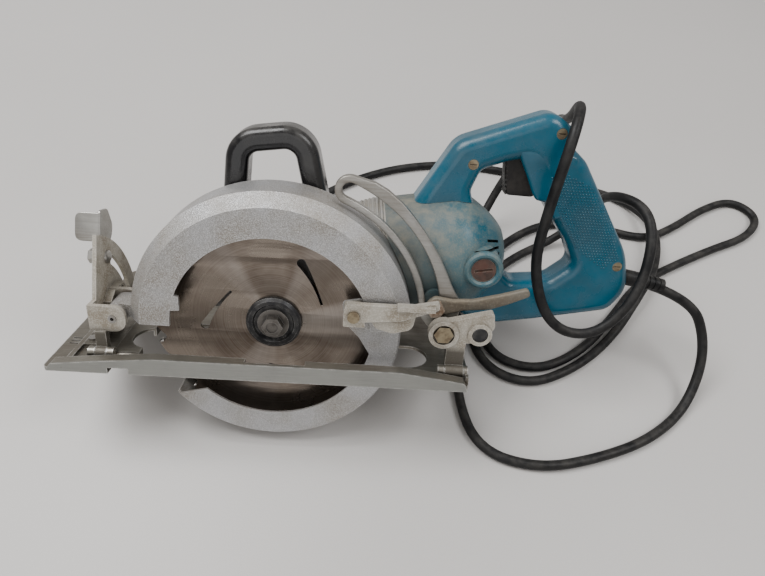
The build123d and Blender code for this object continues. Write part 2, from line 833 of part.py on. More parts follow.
def front_bracket():
    # two ears on the pivot pin and a plate across the front with the arc slot for the bevel bolt
    ears = Part()
    for y0, y1 in ((-ear_outer, -ear_inner), (ear_inner, ear_outer)):
        cheek = outline((bracket_x0, -7.5, 1), (bracket_x0, 13, 1), (pivot_x + 9.5, 13, 9), (pivot_x + 9.5, -7.5, 9))
        ears += across(cheek, y0, y1)
    outer = bevel_slot_radius + 14.5
    inner = bevel_slot_radius - 14
    sector_top = polar(outer, 71, bevel_y, bevel_z)
    sector_mid = polar(outer, 38, bevel_y, bevel_z)
    sector_low = polar(outer, 6, bevel_y, bevel_z)
    inner_edge = [polar(inner, a, bevel_y, bevel_z) for a in (6, 15, 25, 35)]
    crease = [polar(inner + 2.5, a, bevel_y, bevel_z) for a in (35, 25, 15, 6)]
    rim = [
        Polyline((-ear_outer, -7.5), (-ear_outer, 13), (-7, 13), sector_top),
        ThreePointArc(sector_top, sector_mid, sector_low),
        Polyline(sector_low, *inner_edge, (15, 10), (4, 3), (ear_outer, -7.5), (-ear_outer, -7.5)),
    ]
    plate = along(make_face(rim), bracket_x0, bracket_x1)
    slot = SlotArc(CenterArc((bevel_y, bevel_z), bevel_slot_radius, bevel_bolt_angle - bevel_travel, bevel_travel), 7.4)
    plate -= along(slot, bracket_x0 - 1, bracket_x1 + 1)
    flange = along(polygon(*inner_edge, (15, 10), (4, 3), (4, 5.8), (15, 12.8), *crease), bracket_x1, bracket_x1 + 6)
    knuckle = rod_x(4.3, bracket_x0 + 4, bracket_x0 + 12, bevel_y, bevel_z)
    web = block(bracket_x0 + 4, bracket_x0 + 12, bevel_y + 1, -ear_inner, bevel_z, -7)
    hinge_hole = rod_x(2.2, bracket_x0 - 10, bracket_x0 + 20, bevel_y, bevel_z)
    pivot_hole = rod_y(3.1, -30, 30, pivot_x, pivot_z)
    return ears + plate + flange + knuckle + web - hinge_hole - pivot_hole


nodes["front_bracket"] = front_bracket()
pin = rod_y(3.0, -ear_outer - 0.6, ear_outer + 0.6, pivot_x, pivot_z)
nodes["front_pivot_pin"] = pin - rod_y(1.4, -ear_outer - 1, -ear_outer + 2, pivot_x, pivot_z)

rear_knuckle_x = link_pin_x + 3.5


def rear_bracket():
    # casting with the two round bosses; it stands on the bevel hinge and carries the depth link
    px, pz = link_pin_x, link_pin_z
    boss_two = (px + 27, pz + 1.5)
    front = -18.0
    plate = across(outline((px - 8.5, pz - 8, 4), (px - 7.5, pz + 8, 5), (px + 17.5, pz + 15, 3),
                           (px + 35.5, pz + 20, 2), (px + 37.5, pz + 8, 6), (px + 29.5, pz - 6, 4)), front, -11.5)
    big = rod_y(11.3, front - 1.5, -11.5, link_pin_x, link_pin_z)
    small = rod_y(9, front - 1.5, -9, *boss_two)
    neck = rod_y(6.4, -11.5, link_front - seat_gap, link_pin_x, link_pin_z)
    post = block(rear_knuckle_x, rear_knuckle_x + 14, -18, -13.5, bevel_z, 4)
    knuckle = rod_x(4.3, rear_knuckle_x, rear_knuckle_x + 14, bevel_y, bevel_z)
    casting = plate + big + small + neck + post + knuckle
    casting -= rod_y(8.2, front - 3, front + 1, link_pin_x, link_pin_z)
    casting -= rod_y(3.6, front, 10, link_pin_x, link_pin_z)
    casting -= rod_y(6, front - 3, front + 0.5, *boss_two)
    return casting - rod_x(2.2, 100, 200, bevel_y, bevel_z)


nodes["rear_bracket"] = rear_bracket()


def link_pivot_bolt():
    head = across(Pos(link_pin_x, link_pin_z) * RegularPolygon(7.4, 6), -19.6, -17)
    shank = rod_y(3.5, -17, link_front + link_thickness + 0.4, link_pin_x, link_pin_z)
    return head + shank


nodes["link_pivot_bolt"] = link_pivot_bolt()


def depth_link():
    # hairpin link with an arc slot; it turns on the rear bracket and slides past the depth bolt
    cx, cz = link_slot_x, link_slot_z
    radius = link_slot_radius
    slot_start = depth_bolt_angle - 1
    slot_end = depth_bolt_angle + link_slot_sweep
    inner = radius - link_slot_width / 2 - link_wall
    crown = polar(radius, slot_end, cx, cz)
    crown_radius = link_slot_width / 2 + link_wall
    outer_low = polar(radius + 17.0, 8.2, cx, cz)
    outer_top = polar(radius + 8.6, 52.4, cx, cz)
    crown_start = polar(crown_radius, slot_end - 10, *crown)
    foot_left = (link_pin_x - 10.5, link_pin_z - 8)
    foot_right = (link_pin_x + 9.5, link_pin_z - 8)
    bars = make_face([
        ThreePointArc(polar(inner, slot_end, cx, cz), polar(inner, 35, cx, cz), polar(inner, 4, cx, cz)),
        Line(polar(inner, 4, cx, cz), foot_left),
        Line(foot_left, foot_right),
        Line(foot_right, outer_low),
        ThreePointArc(outer_low, polar(radius + 12.3, 28.5, cx, cz), outer_top),
        Line(outer_top, crown_start),
        ThreePointArc(crown_start, polar(crown_radius, slot_end + 85, *crown), polar(inner, slot_end, cx, cz)),
    ])
    hub = Pos(link_pin_x, link_pin_z) * Circle(9.5)
    y0 = link_front
    y1 = link_front + link_thickness
    link = across(bars, y0, y1) + across(hub, y0, y1)
    slot_line = CenterArc((cx, cz), radius, slot_start, slot_end - slot_start)
    link -= across(SlotArc(slot_line, link_slot_width), y0 - 1, y1 + 1)
    return link - rod_y(3.55, y0 - 1, y1 + 1, link_pin_x, link_pin_z)


nodes["depth_link"] = depth_link()

lever_y0 = -4.5
lever_y1 = 0.6


def depth_lock_lever():
    # clamping lever on the depth bolt, lying back beside the motor
    arm = outline((depth_bolt_x - 1, depth_bolt_z - 7, 3), (depth_bolt_x - 4, depth_bolt_z + 7, 3),
                  (156, 36, 20), (189, 45, 2), (190.5, 39.5, 2), (154, 25, 20))
    lever = across(arm, lever_y0, lever_y1) + rod_y(8, lever_y0, lever_y1, depth_bolt_x, depth_bolt_z)
    return lever - rod_y(2.9, -10, 10, depth_bolt_x, depth_bolt_z)


nodes["depth_lock_lever"] = depth_lock_lever()
bolt_shank = rod_y(2.5, -8, 15, depth_bolt_x, depth_bolt_z)
nodes["depth_lock_bolt"] = bolt_shank
nut_face = Pos(depth_bolt_x, depth_bolt_z) * (RegularPolygon(6.8, 6) - Circle(2.55))
nodes["depth_lock_nut"] = across(nut_face, -9.4, lever_y0)


# ---- base ----

def guard_slot():
    # the long opening for blade and lower guard, with a round-ended run fore and aft
    wide = Pos(0, (slot_left + slot_right) / 2) * RectangleRounded(2 * slot_half_length, slot_right - slot_left, 6)
    return wide + Pos(5, 5) * SlotOverall(232, 32)


def base_plate():
    # flat sole with a tall left rail, turned-up lips and a long guard slot
    t = plate_top
    sheet = outline(
        (base_front, base_left, 5),
        (base_rear, base_left, 8),
        (base_rear, base_right, 10),
        (base_front, base_right, 10),
    )
    plate = upward(sheet, sole, t)
    rail_side = outline(
        (base_front + 2, sole, 0.5),
        (base_front + 6, sole + 6, 3),
        (-120, sole + 10.4, 30),
        (-84, sole + rail_height, 30),
        (97, sole + rail_height, 30),
        (127, sole + 10, 20),
        (base_rear - 4, sole + 7, 3),
        (base_rear - 1, sole, 0.5),
    )
    rail = across(rail_side, base_left, base_left + rail_width)
    hollow = block(base_front + 14, base_rear - 14, base_left + 2.6, base_left + rail_width - 2.4, sole - 1, sole + 4)
    notch = block(-17, 27, base_left + 3.2, base_left + rail_width + 1, sole + 6.5, sole + 20)
    rear_lip = block(base_rear - 2.4, base_rear, base_left + 8, base_right - 10, sole, sole + lip_height)
    right_lip = block(base_front + 10, base_rear - 10, base_right - 2.4, base_right, sole, sole + lip_height)
    rib = block(base_front + 13, base_front + 17, base_left + rail_width, base_right - 12, t, t + 2.4)
    plate = plate + rail + rear_lip + right_lip + rib
    plate -= upward(guard_slot(), sole - 1, t + 1)
    plate -= notch
    for i in range(3):
        plate -= block(base_front + 4, base_front + 12, -2.5 + 4 * i, -1.3 + 4 * i, sole - 1, t + 1)
    return plate


def hinge_lugs():
    # the knuckles of the bevel hinge, either side of each bracket's own knuckle
    lugs = Part()
    front = bracket_x0 + 4
    rear = rear_knuckle_x
    for x0, x1 in ((front - 5.4, front - seat_gap), (front + 8 + seat_gap, front + 13.4),
                   (rear - 5.4, rear - seat_gap), (rear + 14 + seat_gap, rear + 17.6)):
        lugs += rod_x(4.3, x0, x1, bevel_y, bevel_z)
        lugs += block(x0, x1, bevel_y - 4.3, bevel_y + 4.3, sole + 0.5, bevel_z)
    return lugs


guide_x = -108.5
guide_bar = 14.8
guide_height = 5.0
guide_x0 = guide_x - guide_bar / 2
guide_x1 = guide_x + guide_bar / 2
guide_room = block(guide_x0, guide_x1, base_left - 1, base_right + 1, sole - 1, sole + guide_height)


def rip_guide_way():
    # raised way across the base for the bar of a rip guide, with a tapped boss for its screw
    way = block(guide_x0 - 2.6, guide_x1 + 2.6, base_left + rail_width, base_right, sole, sole + guide_height + 2.4)
    way -= upward(guard_slot(), sole - 1, 0)
    boss = Pos(guide_x, 100, sole + guide_height + 4) * Cylinder(7, 8)
    return way + boss - Pos(guide_x, 100, sole + 10) * Cylinder(2.5, 30)


base = base_plate() + hinge_lugs() + rip_guide_way() - guide_room
hinge_bore = rod_x(2.2, -200, 200, bevel_y, bevel_z)
nodes["base_plate"] = base - hinge_bore


def hinge_pin(x0, x1):
    return rod_x(2.1, x0, x1, bevel_y, bevel_z)


front_lug = bracket_x0 + 4
nodes["bevel_hinge_pins"] = group([
    hinge_pin(front_lug - 5.4, front_lug + 13.4),
    hinge_pin(rear_knuckle_x - 5.4, rear_knuckle_x + 17.6),
])

upright_x1 = bracket_x0 - 0.5
upright_x0 = upright_x1 - 3.0


def front_upright():
    # the base's own upright in front of the slotted plate; it carries the bevel bolt
    by, bz = bevel_bolt_y, bevel_bolt_z
    face = outline((-6, plate_top, 1), (2, plate_top + 37, 20), (by - 9, bz, 6), (by - 5, bz + 9, 8),
                   (by + 9, bz + 8, 8), (by + 12, bz - 8, 8), (30, plate_top + 29, 20), (40, plate_top, 1))
    foot = block(upright_x0 - 9, upright_x1, -6, 40, plate_top, plate_top + 2.6)
    upright = along(face, upright_x0, upright_x1) + foot
    for y in (2, 32):
        upright -= Pos(upright_x0 - 4.5, y, plate_top) * Cylinder(1.9, 30)
    return upright - rod_x(3.1, upright_x0 - 5, upright_x1 + 5, by, bz)


nodes["front_upright"] = front_upright()
rivets = []
for y in (2, 32):
    rivets.append(Pos(upright_x0 - 4.5, y, plate_top + 2.6 + 0.8) * Cylinder(3.4, 1.6)
                  + Pos(upright_x0 - 4.5, y, plate_top + 1.6) * Cylinder(1.8, 2 * 1.6))
nodes["base_rivets"] = group(rivets)
nodes["bevel_bolt"] = rod_x(3.0, upright_x0 - 4.4, bracket_x1 + 4.2, bevel_bolt_y, bevel_bolt_z) + along(
    Pos(bevel_bolt_y, bevel_bolt_z) * RegularPolygon(5.8, 6), bracket_x1 + 0.4, bracket_x1 + 4.2
)


def bevel_lever():
    # pressed lever on the bevel bolt with its thumb tab turned forward
    by, bz = bevel_bolt_y, bevel_bolt_z
    x1 = upright_x0 - 0.2
    x0 = x1 - 2.2
    face = outline((by - 5, bz - 9, 7), (by - 7, bz + 2, 6), (by + 6.5, bz + 10.9, 6), (by + 13.5, bz + 31.9, 2),
                   (by + 26.5, bz + 29.9, 4), (by + 31.5, bz + 15.9, 8), (by + 29.5, bz + 7.9, 14), (by + 9, bz - 8, 8))
    arm = along(face, x0, x1)
    tab = along(polygon((by + 5.7, bz + 9.5), (by + 12.9, bz + 30.5), (by + 15.1, bz + 29.9), (by + 7.9, bz + 8.8)),
                x0 - 17, x1)
    lever = arm + tab
    return lever - rod_x(3.1, x0 - 5, x1 + 5, by, bz)


nodes["bevel_lever"] = bevel_lever()
nodes["bevel_nut"] = along(Pos(bevel_bolt_y, bevel_bolt_z) * (RegularPolygon(5.8, 6) - Circle(3.05)),
                           upright_x0 - 6.2, upright_x0 - 2.6)


# ---- small parts ----

def shaft_lock():
    # push button on top of the case; its pin reaches down towards the armature shaft
    button = upward(RectangleRounded(13, 9, 2.5), 0.4, 6)
    return button + Pos(0, 0, -6) * Cylinder(2.4, 13)


nodes["lock_button"] = lock_place * shaft_lock()
# ---- standing place ----

lean = degrees(atan2(lower_guard_radius + sole, base_right - lower_guard_back))
up_y = -sin(radians(lean))
up_z = cos(radians(lean))
floor_height = lower_guard_back * up_y - lower_guard_radius * up_z


def leaned(shape):
    return Pos(0, 0, -floor_height) * Rot(-lean, 0, 0) * shape


# ---- cord ----
# the corners of the cord's centre line in the standing saw's own frame, from inside the grip to the plug
cord_route = (
    (209.7, 26.4, 93.8),
    (286.6, 20.1, 81.8),
    (316.0, -6.0, 38.0),
    (303.0, -48.0, 4.3),
    (262.0, -82.0, 4.3),
    (212.0, -102.0, 4.3),
    (158.0, -114.0, 4.3),
    (108.0, -100.0, 4.3),
    (92.5, -50.0, 4.3),
    (97.0, 10.0, 4.3),
    (97.0, 78.0, 4.3),
    (118.0, 138.0, 7.3),
    (150.0, 186.0, 60.0),
    (176.0, 172.0, 140.0),
    (165.1, 114.1, 178.7),
    (161.1, 92.5, 214.9),
    (150.1, 55.7, 211.6),
    (142.1, 30.6, 163.9),
    (137.1, 5.5, 118.3),
    (160.1, -20.5, 73.2),
    (202.1, -22.4, 67.5),
    (232.1, 1.6, 104.5),
    (238.1, 50.7, 144.2),
    (212.1, 89.8, 128.2),
    (230.0, 140.0, 48.0),
    (208.0, 142.0, 4.3),
    (160.0, 113.0, 4.3),
    (128.0, 80.0, 4.3),
    (117.0, 34.0, 4.3),
    (126.0, -8.0, 4.3),
    (168.0, -22.0, 4.3),
    (212.0, 0.0, 4.3),
    (250.0, 40.0, 4.3),
    (286.0, 86.0, 4.3),
    (330.0, 113.0, 4.3),
    (384.0, 142.0, 4.3),
    (432.0, 164.0, 4.3),
    (456.0, 196.0, 4.3),
    (432.0, 222.0, 4.3),
    (392.0, 204.0, 4.3),
    (350.0, 172.0, 4.3),
    (312.0, 150.0, 4.3),
    (262.0, 164.0, 4.3),
    (206.0, 168.0, 4.3),
    (160.0, 140.0, 4.3),
    (124.0, 98.0, 4.3),
    (107.0, 42.0, 4.3),
    (114.0, -16.0, 4.3),
    (157.0, -38.0, 4.3),
    (207.0, -16.0, 4.3),
    (248.0, 20.0, 4.3),
    (276.0, 58.0, 17.0),
    (308.0, 104.0, 17.0),
    (320.0, 160.0, 17.0),
    (304.0, 208.0, 4.3),
    (254.0, 228.0, 4.3),
    (180.0, 244.0, 4.3),
    (110.0, 254.0, 4.3),
    (46.0, 244.0, 4.3),
    (-10.0, 218.0, 4.3),
    (-56.0, 180.0, 4.3),
    (-92.0, 146.0, 13.5),
    (-120.0, 118.0, 13.5),
)
plug_length = 38.0


def rounded_line(corners):
    # straight runs joined by tangent arcs that use nine tenths of the shorter run
    edges = []
    start = Vector(*corners[0])
    for i in range(1, len(corners) - 1):
        corner = Vector(*corners[i])
        back = Vector(*corners[i - 1]) - corner
        on = Vector(*corners[i + 1]) - corner
        half = radians(back.get_angle(on) / 2)
        reach = 0.45 * min(back.length, on.length)
        radius = reach * tan(half)
        inward = (back.normalized() + on.normalized()).normalized()
        begin = corner + back.normalized() * reach
        end = corner + on.normalized() * reach
        edges.append(Line(start, begin))
        edges.append(ThreePointArc(begin, corner + inward * (radius / sin(half) - radius), end))
        start = end
    edges.append(Line(start, Vector(*corners[-1])))
    return Wire(edges)


def power_cord():
    line = rounded_line(cord_route)
    return sweep(Plane(line @ 0, z_dir=line % 0) * Circle(cord_diameter / 2), line)


plug_end = Vector(*cord_route[-1])
plug_way = (plug_end - Vector(*cord_route[-2])).normalized()
plug_frame = Plane(plug_end, x_dir=(0, 0, 1), z_dir=plug_way)


def plug():
    # moulded two-blade plug with a ribbed strain relief over the cord
    front = plug_frame.offset(plug_length) * RectangleRounded(20, 27, 6)
    middle = plug_frame.offset(plug_length * 0.4) * RectangleRounded(18, 24, 6)
    back = plug_frame.offset(0) * RectangleRounded(12, 13, 5)
    body = loft([back, middle, front])
    relief = plug_frame * Pos(0, 0, -11) * Cone(5.2, 6, 24)
    hole = plug_frame * Pos(0, 0, -5) * Cylinder(cord_diameter / 2 + 0.05, 40)
    return body + relief - hole


def plug_pins():
    pins = []
    for y in (-6.35, 6.35):
        pins.append(plug_frame * Pos(0, y, plug_length + 8) * Box(6.3, 1.5, 18))
    return pins


free_nodes = ("cord_guard",)
whole = Compound([leaned(shape) for name, shape in nodes.items() if name not in free_nodes]).bounding_box()
centre = whole.center()
placed = {name: Pos(-centre.X, -centre.Y, 0) * leaned(shape) for name, shape in nodes.items()}
placed["power_cord"] = power_cord()
placed["plug_pins"] = group(plug_pins())
placed["plug"] = plug() - placed["plug_pins"]

os.makedirs("parts", exist_ok=True)
for name, shape in placed.items():
    export_step(shape, f"parts/{name}.step")
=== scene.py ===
import json
import math

import bmesh
import bpy
from mathutils.bvhtree import BVHTree
from mathutils import Matrix, Vector


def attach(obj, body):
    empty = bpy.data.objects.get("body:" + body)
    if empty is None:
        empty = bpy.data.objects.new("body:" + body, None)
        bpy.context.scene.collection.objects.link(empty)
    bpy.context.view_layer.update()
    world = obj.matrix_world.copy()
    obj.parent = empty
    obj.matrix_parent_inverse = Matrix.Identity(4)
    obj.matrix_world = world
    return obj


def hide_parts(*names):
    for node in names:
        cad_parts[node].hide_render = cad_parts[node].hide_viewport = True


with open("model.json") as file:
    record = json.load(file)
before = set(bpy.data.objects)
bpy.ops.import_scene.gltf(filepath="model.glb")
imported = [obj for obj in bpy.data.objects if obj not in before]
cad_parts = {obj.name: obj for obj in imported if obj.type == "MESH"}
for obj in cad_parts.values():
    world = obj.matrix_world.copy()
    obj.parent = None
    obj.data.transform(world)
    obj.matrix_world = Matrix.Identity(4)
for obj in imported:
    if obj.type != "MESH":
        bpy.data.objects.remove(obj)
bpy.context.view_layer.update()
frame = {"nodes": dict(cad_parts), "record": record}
nodes = frame["nodes"]
print("frame loaded:", len(nodes), "nodes")

# the saw is drawn upright in millimetres, then leaned over and set down
standing = {
    "lean": 27.75854,  # degrees about X
    "arbor": (-0.0619, -0.039824, 0.092413),
}
lean = math.radians(standing["lean"])
setDown = Matrix.Translation(standing["arbor"]) @ Matrix.Rotation(-lean, 4, "X") @ Matrix.Scale(0.001, 4)

# camera
cameraSet = {
    "place": (0.00437, -0.29049, 0.47717),
    "forward": (0.03359, 0.5985, -0.80042),
    "up": (-0.05785, 0.80069, 0.59628),
    "lens": 27.88,
}


def addObject(name, data):
    made = bpy.data.objects.new(name, data)
    bpy.context.scene.collection.objects.link(made)
    return made


def placeCamera(spec):
    ahead = Vector(spec["forward"]).normalized()
    right = ahead.cross(Vector(spec["up"])).normalized()
    upward = right.cross(ahead)
    turn = Matrix((right, upward, -ahead)).transposed()
    data = bpy.data.cameras.new("camera")
    data.lens = spec["lens"]
    data.sensor_width = 36
    data.clip_start = 0.01
    camera = addObject("camera", data)
    camera.matrix_world = Matrix.Translation(spec["place"]) @ turn.to_4x4()
    bpy.context.scene.camera = camera


placeCamera(cameraSet)

# mains cord, one open line through its points
cordSet = {"diameter": 0.0085, "length": 3.349}
cordPoints = [
    (0.2097, 0.0264, 0.0938), (0.2866, 0.0201, 0.0818), (0.3160, -0.0060, 0.0380), (0.3030, -0.0480, 0.0043),
    (0.2620, -0.0820, 0.0043), (0.2120, -0.1020, 0.0043), (0.1580, -0.1140, 0.0043), (0.1080, -0.1000, 0.0043),
    (0.0925, -0.0500, 0.0043), (0.0970, 0.0100, 0.0043), (0.0970, 0.0780, 0.0043), (0.1180, 0.1380, 0.0073),
    (0.1500, 0.1860, 0.0600), (0.1760, 0.1720, 0.1400), (0.1651, 0.1141, 0.1787), (0.1611, 0.0925, 0.2149),
    (0.1501, 0.0557, 0.2116), (0.1421, 0.0306, 0.1639), (0.1371, 0.0055, 0.1183), (0.1601, -0.0205, 0.0732),
    (0.2021, -0.0224, 0.0675), (0.2321, 0.0016, 0.1045), (0.2381, 0.0507, 0.1442), (0.2121, 0.0898, 0.1282),
    (0.2300, 0.1400, 0.0480), (0.2080, 0.1420, 0.0043), (0.1600, 0.1130, 0.0043), (0.1280, 0.0800, 0.0043),
    (0.1170, 0.0340, 0.0043), (0.1260, -0.0080, 0.0043), (0.1680, -0.0220, 0.0043), (0.2120, 0.0000, 0.0043),
    (0.2500, 0.0400, 0.0043), (0.2860, 0.0860, 0.0043), (0.3300, 0.1130, 0.0043), (0.3840, 0.1420, 0.0043),
    (0.4320, 0.1640, 0.0043), (0.4560, 0.1960, 0.0043), (0.4320, 0.2220, 0.0043), (0.3920, 0.2040, 0.0043),
    (0.3500, 0.1720, 0.0043), (0.3120, 0.1500, 0.0043), (0.2620, 0.1640, 0.0043), (0.2060, 0.1680, 0.0043),
    (0.1600, 0.1400, 0.0043), (0.1240, 0.0980, 0.0043), (0.1070, 0.0420, 0.0043), (0.1140, -0.0160, 0.0043),
    (0.1570, -0.0380, 0.0043), (0.2070, -0.0160, 0.0043), (0.2480, 0.0200, 0.0043), (0.2760, 0.0580, 0.0170),
    (0.3080, 0.1040, 0.0170), (0.3200, 0.1600, 0.0170), (0.3040, 0.2080, 0.0043), (0.2540, 0.2280, 0.0043),
    (0.1800, 0.2440, 0.0043), (0.1100, 0.2540, 0.0043), (0.0460, 0.2440, 0.0043), (-0.0100, 0.2180, 0.0043),
    (-0.0560, 0.1800, 0.0043), (-0.0920, 0.1460, 0.0135), (-0.1200, 0.1180, 0.0135),
]


def layCord(spec):
    curve = bpy.data.curves.new("mainsCord", "CURVE")
    curve.dimensions = "3D"
    curve.bevel_depth = spec["diameter"] / 2
    curve.bevel_resolution = 5
    curve.resolution_u = 14
    curve.use_fill_caps = True
    line = curve.splines.new("NURBS")
    line.points.add(len(cordPoints) - 1)
    for point, place in zip(line.points, cordPoints):
        point.co = (*place, 1)
    line.order_u = 3
    line.use_endpoint_u = True
    return addObject("mainsCord", curve)


mainsCord = layCord(cordSet)
print("cord laid")

lightSet = {
    "ceilingLeft": {"place": (-0.9, 0.3, 1.9), "target": (0, 0, 0), "size": 1.1, "power": 44},
    "ceilingRight": {"place": (1.2, -0.2, 1.8), "target": (0, 0, 0), "size": 0.9, "power": 17},
    "front": {"place": (-0.3, -1.8, 1.1), "target": (0, 0, 0.05), "size": 1.4, "power": 7},
}
worldSet = {"colour": (1.0, 0.97, 0.95), "strength": 0.42}


def addLight(name, spec):
    data = bpy.data.lights.new(name, "AREA")
    data.shape = "SQUARE"
    data.size = spec["size"]
    data.energy = spec["power"]
    light = addObject(name, data)
    light.location = spec["place"]
    aim = Vector(spec["target"]) - Vector(spec["place"])
    light.rotation_euler = aim.to_track_quat("-Z", "Y").to_euler()


for lightName, lightSpec in lightSet.items():
    addLight(lightName, lightSpec)
world = bpy.data.worlds.new("room")
world.use_nodes = True
world.node_tree.nodes["Background"].inputs["Color"].default_value = (*worldSet["colour"], 1)
world.node_tree.nodes["Background"].inputs["Strength"].default_value = worldSet["strength"]
bpy.context.scene.world = world
print("camera and light placed")


# materials
def joinNode(tree, kind, inputs=None, **settings):
    # an input that is a socket is linked, any other is a value
    node = tree.nodes.new(kind)
    for name, value in settings.items():
        setattr(node, name, value)
    for socket, value in (inputs or {}).items():
        if isinstance(value, bpy.types.NodeSocket):
            tree.links.new(value, node.inputs[socket])
        else:
            node.inputs[socket].default_value = value
    return node


def geoNode(tree, kind, inputs=None, **settings):
    return joinNode(tree, "GeometryNode" + kind, inputs, **settings)


def addNode(tree, kind, inputs=None, **settings):
    return joinNode(tree, "ShaderNode" + kind, inputs, **settings)


def sawCoords(tree):
    # object coordinates turned back to the upright saw, centred on the arbor
    back = Matrix.Rotation(lean, 3, "X") @ Vector(standing["arbor"])
    place = addNode(tree, "TexCoord").outputs["Object"]
    return addNode(tree, "Mapping", {"Vector": place, "Location": -back, "Rotation": (lean, 0, 0)}).outputs[0]


def stretched(tree, coords, scale):
    return addNode(tree, "Mapping", {"Vector": coords, "Scale": scale}).outputs[0]


def noise(tree, coords, scale, detail=3.0, roughness=0.55):
    made = addNode(tree, "TexNoise", {"Vector": coords, "Scale": scale, "Detail": detail,
            "Roughness": roughness})
    return made.outputs[0]


def span(tree, value, low, high, toLow=0.0, toHigh=1.0):
    made = addNode(tree, "MapRange", {0: value, 1: low, 2: high, 3: toLow, 4: toHigh})
    return made.outputs[0]


def maths(tree, operation, a, b=0.0):
    return addNode(tree, "Math", {0: a, 1: b}, operation=operation).outputs[0]


def blendColour(tree, amount, a, b):
    made = addNode(tree, "Mix", {0: amount, 6: a, 7: b}, data_type="RGBA")
    return made.outputs[2]


def blendValue(tree, amount, a, b):
    return addNode(tree, "Mix", {0: amount, 2: a, 3: b}).outputs[0]


# where each mask begins and is full, and what its layer does to the roughness
maskSet = {
    "edge": (0.985, 0.85), "patch": (0.42, 0.62), "brushed": (0.35, 0.7), "rings": (0.4, 0.66),
    "fanHighlights": (0.48, 0.7), "rustWidth": 0.08, "rustRough": 0.8, "rustDepth": 0.0004, "open": (0.85, 0.35),
    "lowWidth": 0.006, "lowAmount": 0.9, "bladeShadeNear": (-0.001, 0.002), "bladeShadeFar": (0.018, 0.014),
    "bladeShadeReach": (0.091, 0.086), "bladeShadeAmount": 0.95, "railWidth": 0.002, "raggedSize": 60, "ragged": 0.012,
    "frontRough": 0.6, "wornAndLitSize": 160, "wornAndLit": (0.35, 0.6), "dustUp": (0.25, 0.95), "drift": (0.4, 0.7),
    "dustRough": 0.9,
}


def edgeMask(tree, radius):
    # bright where the rounded normal leaves the flat one, which is at edges
    soft = addNode(tree, "Bevel", {"Radius": radius}, samples=4).outputs[0]
    flat = addNode(tree, "NewGeometry").outputs["Normal"]
    together = addNode(tree, "VectorMath", {0: soft, 1: flat}, operation="DOT_PRODUCT").outputs["Value"]
    return span(tree, together, *maskSet["edge"])


def axisOf(tree, vector, axis):
    return addNode(tree, "SeparateXYZ", {0: vector}).outputs[axis]


def roundArbor(tree, coords):
    # the place laid flat on the blade's plane, and how far it is from the arbor
    flat = addNode(tree, "VectorMath", {0: coords, 1: (1, 0, 1)}, operation="MULTIPLY").outputs[0]
    return flat, addNode(tree, "VectorMath", {0: flat}, operation="LENGTH").outputs["Value"]


def colour(rgb):
    return (*rgb, 1.0)


def paintOver(tree, shade, mask, layer):
    shown = maths(tree, "MULTIPLY", mask, layer["amount"])
    return blendColour(tree, shown, shade, colour(layer["shade"]))


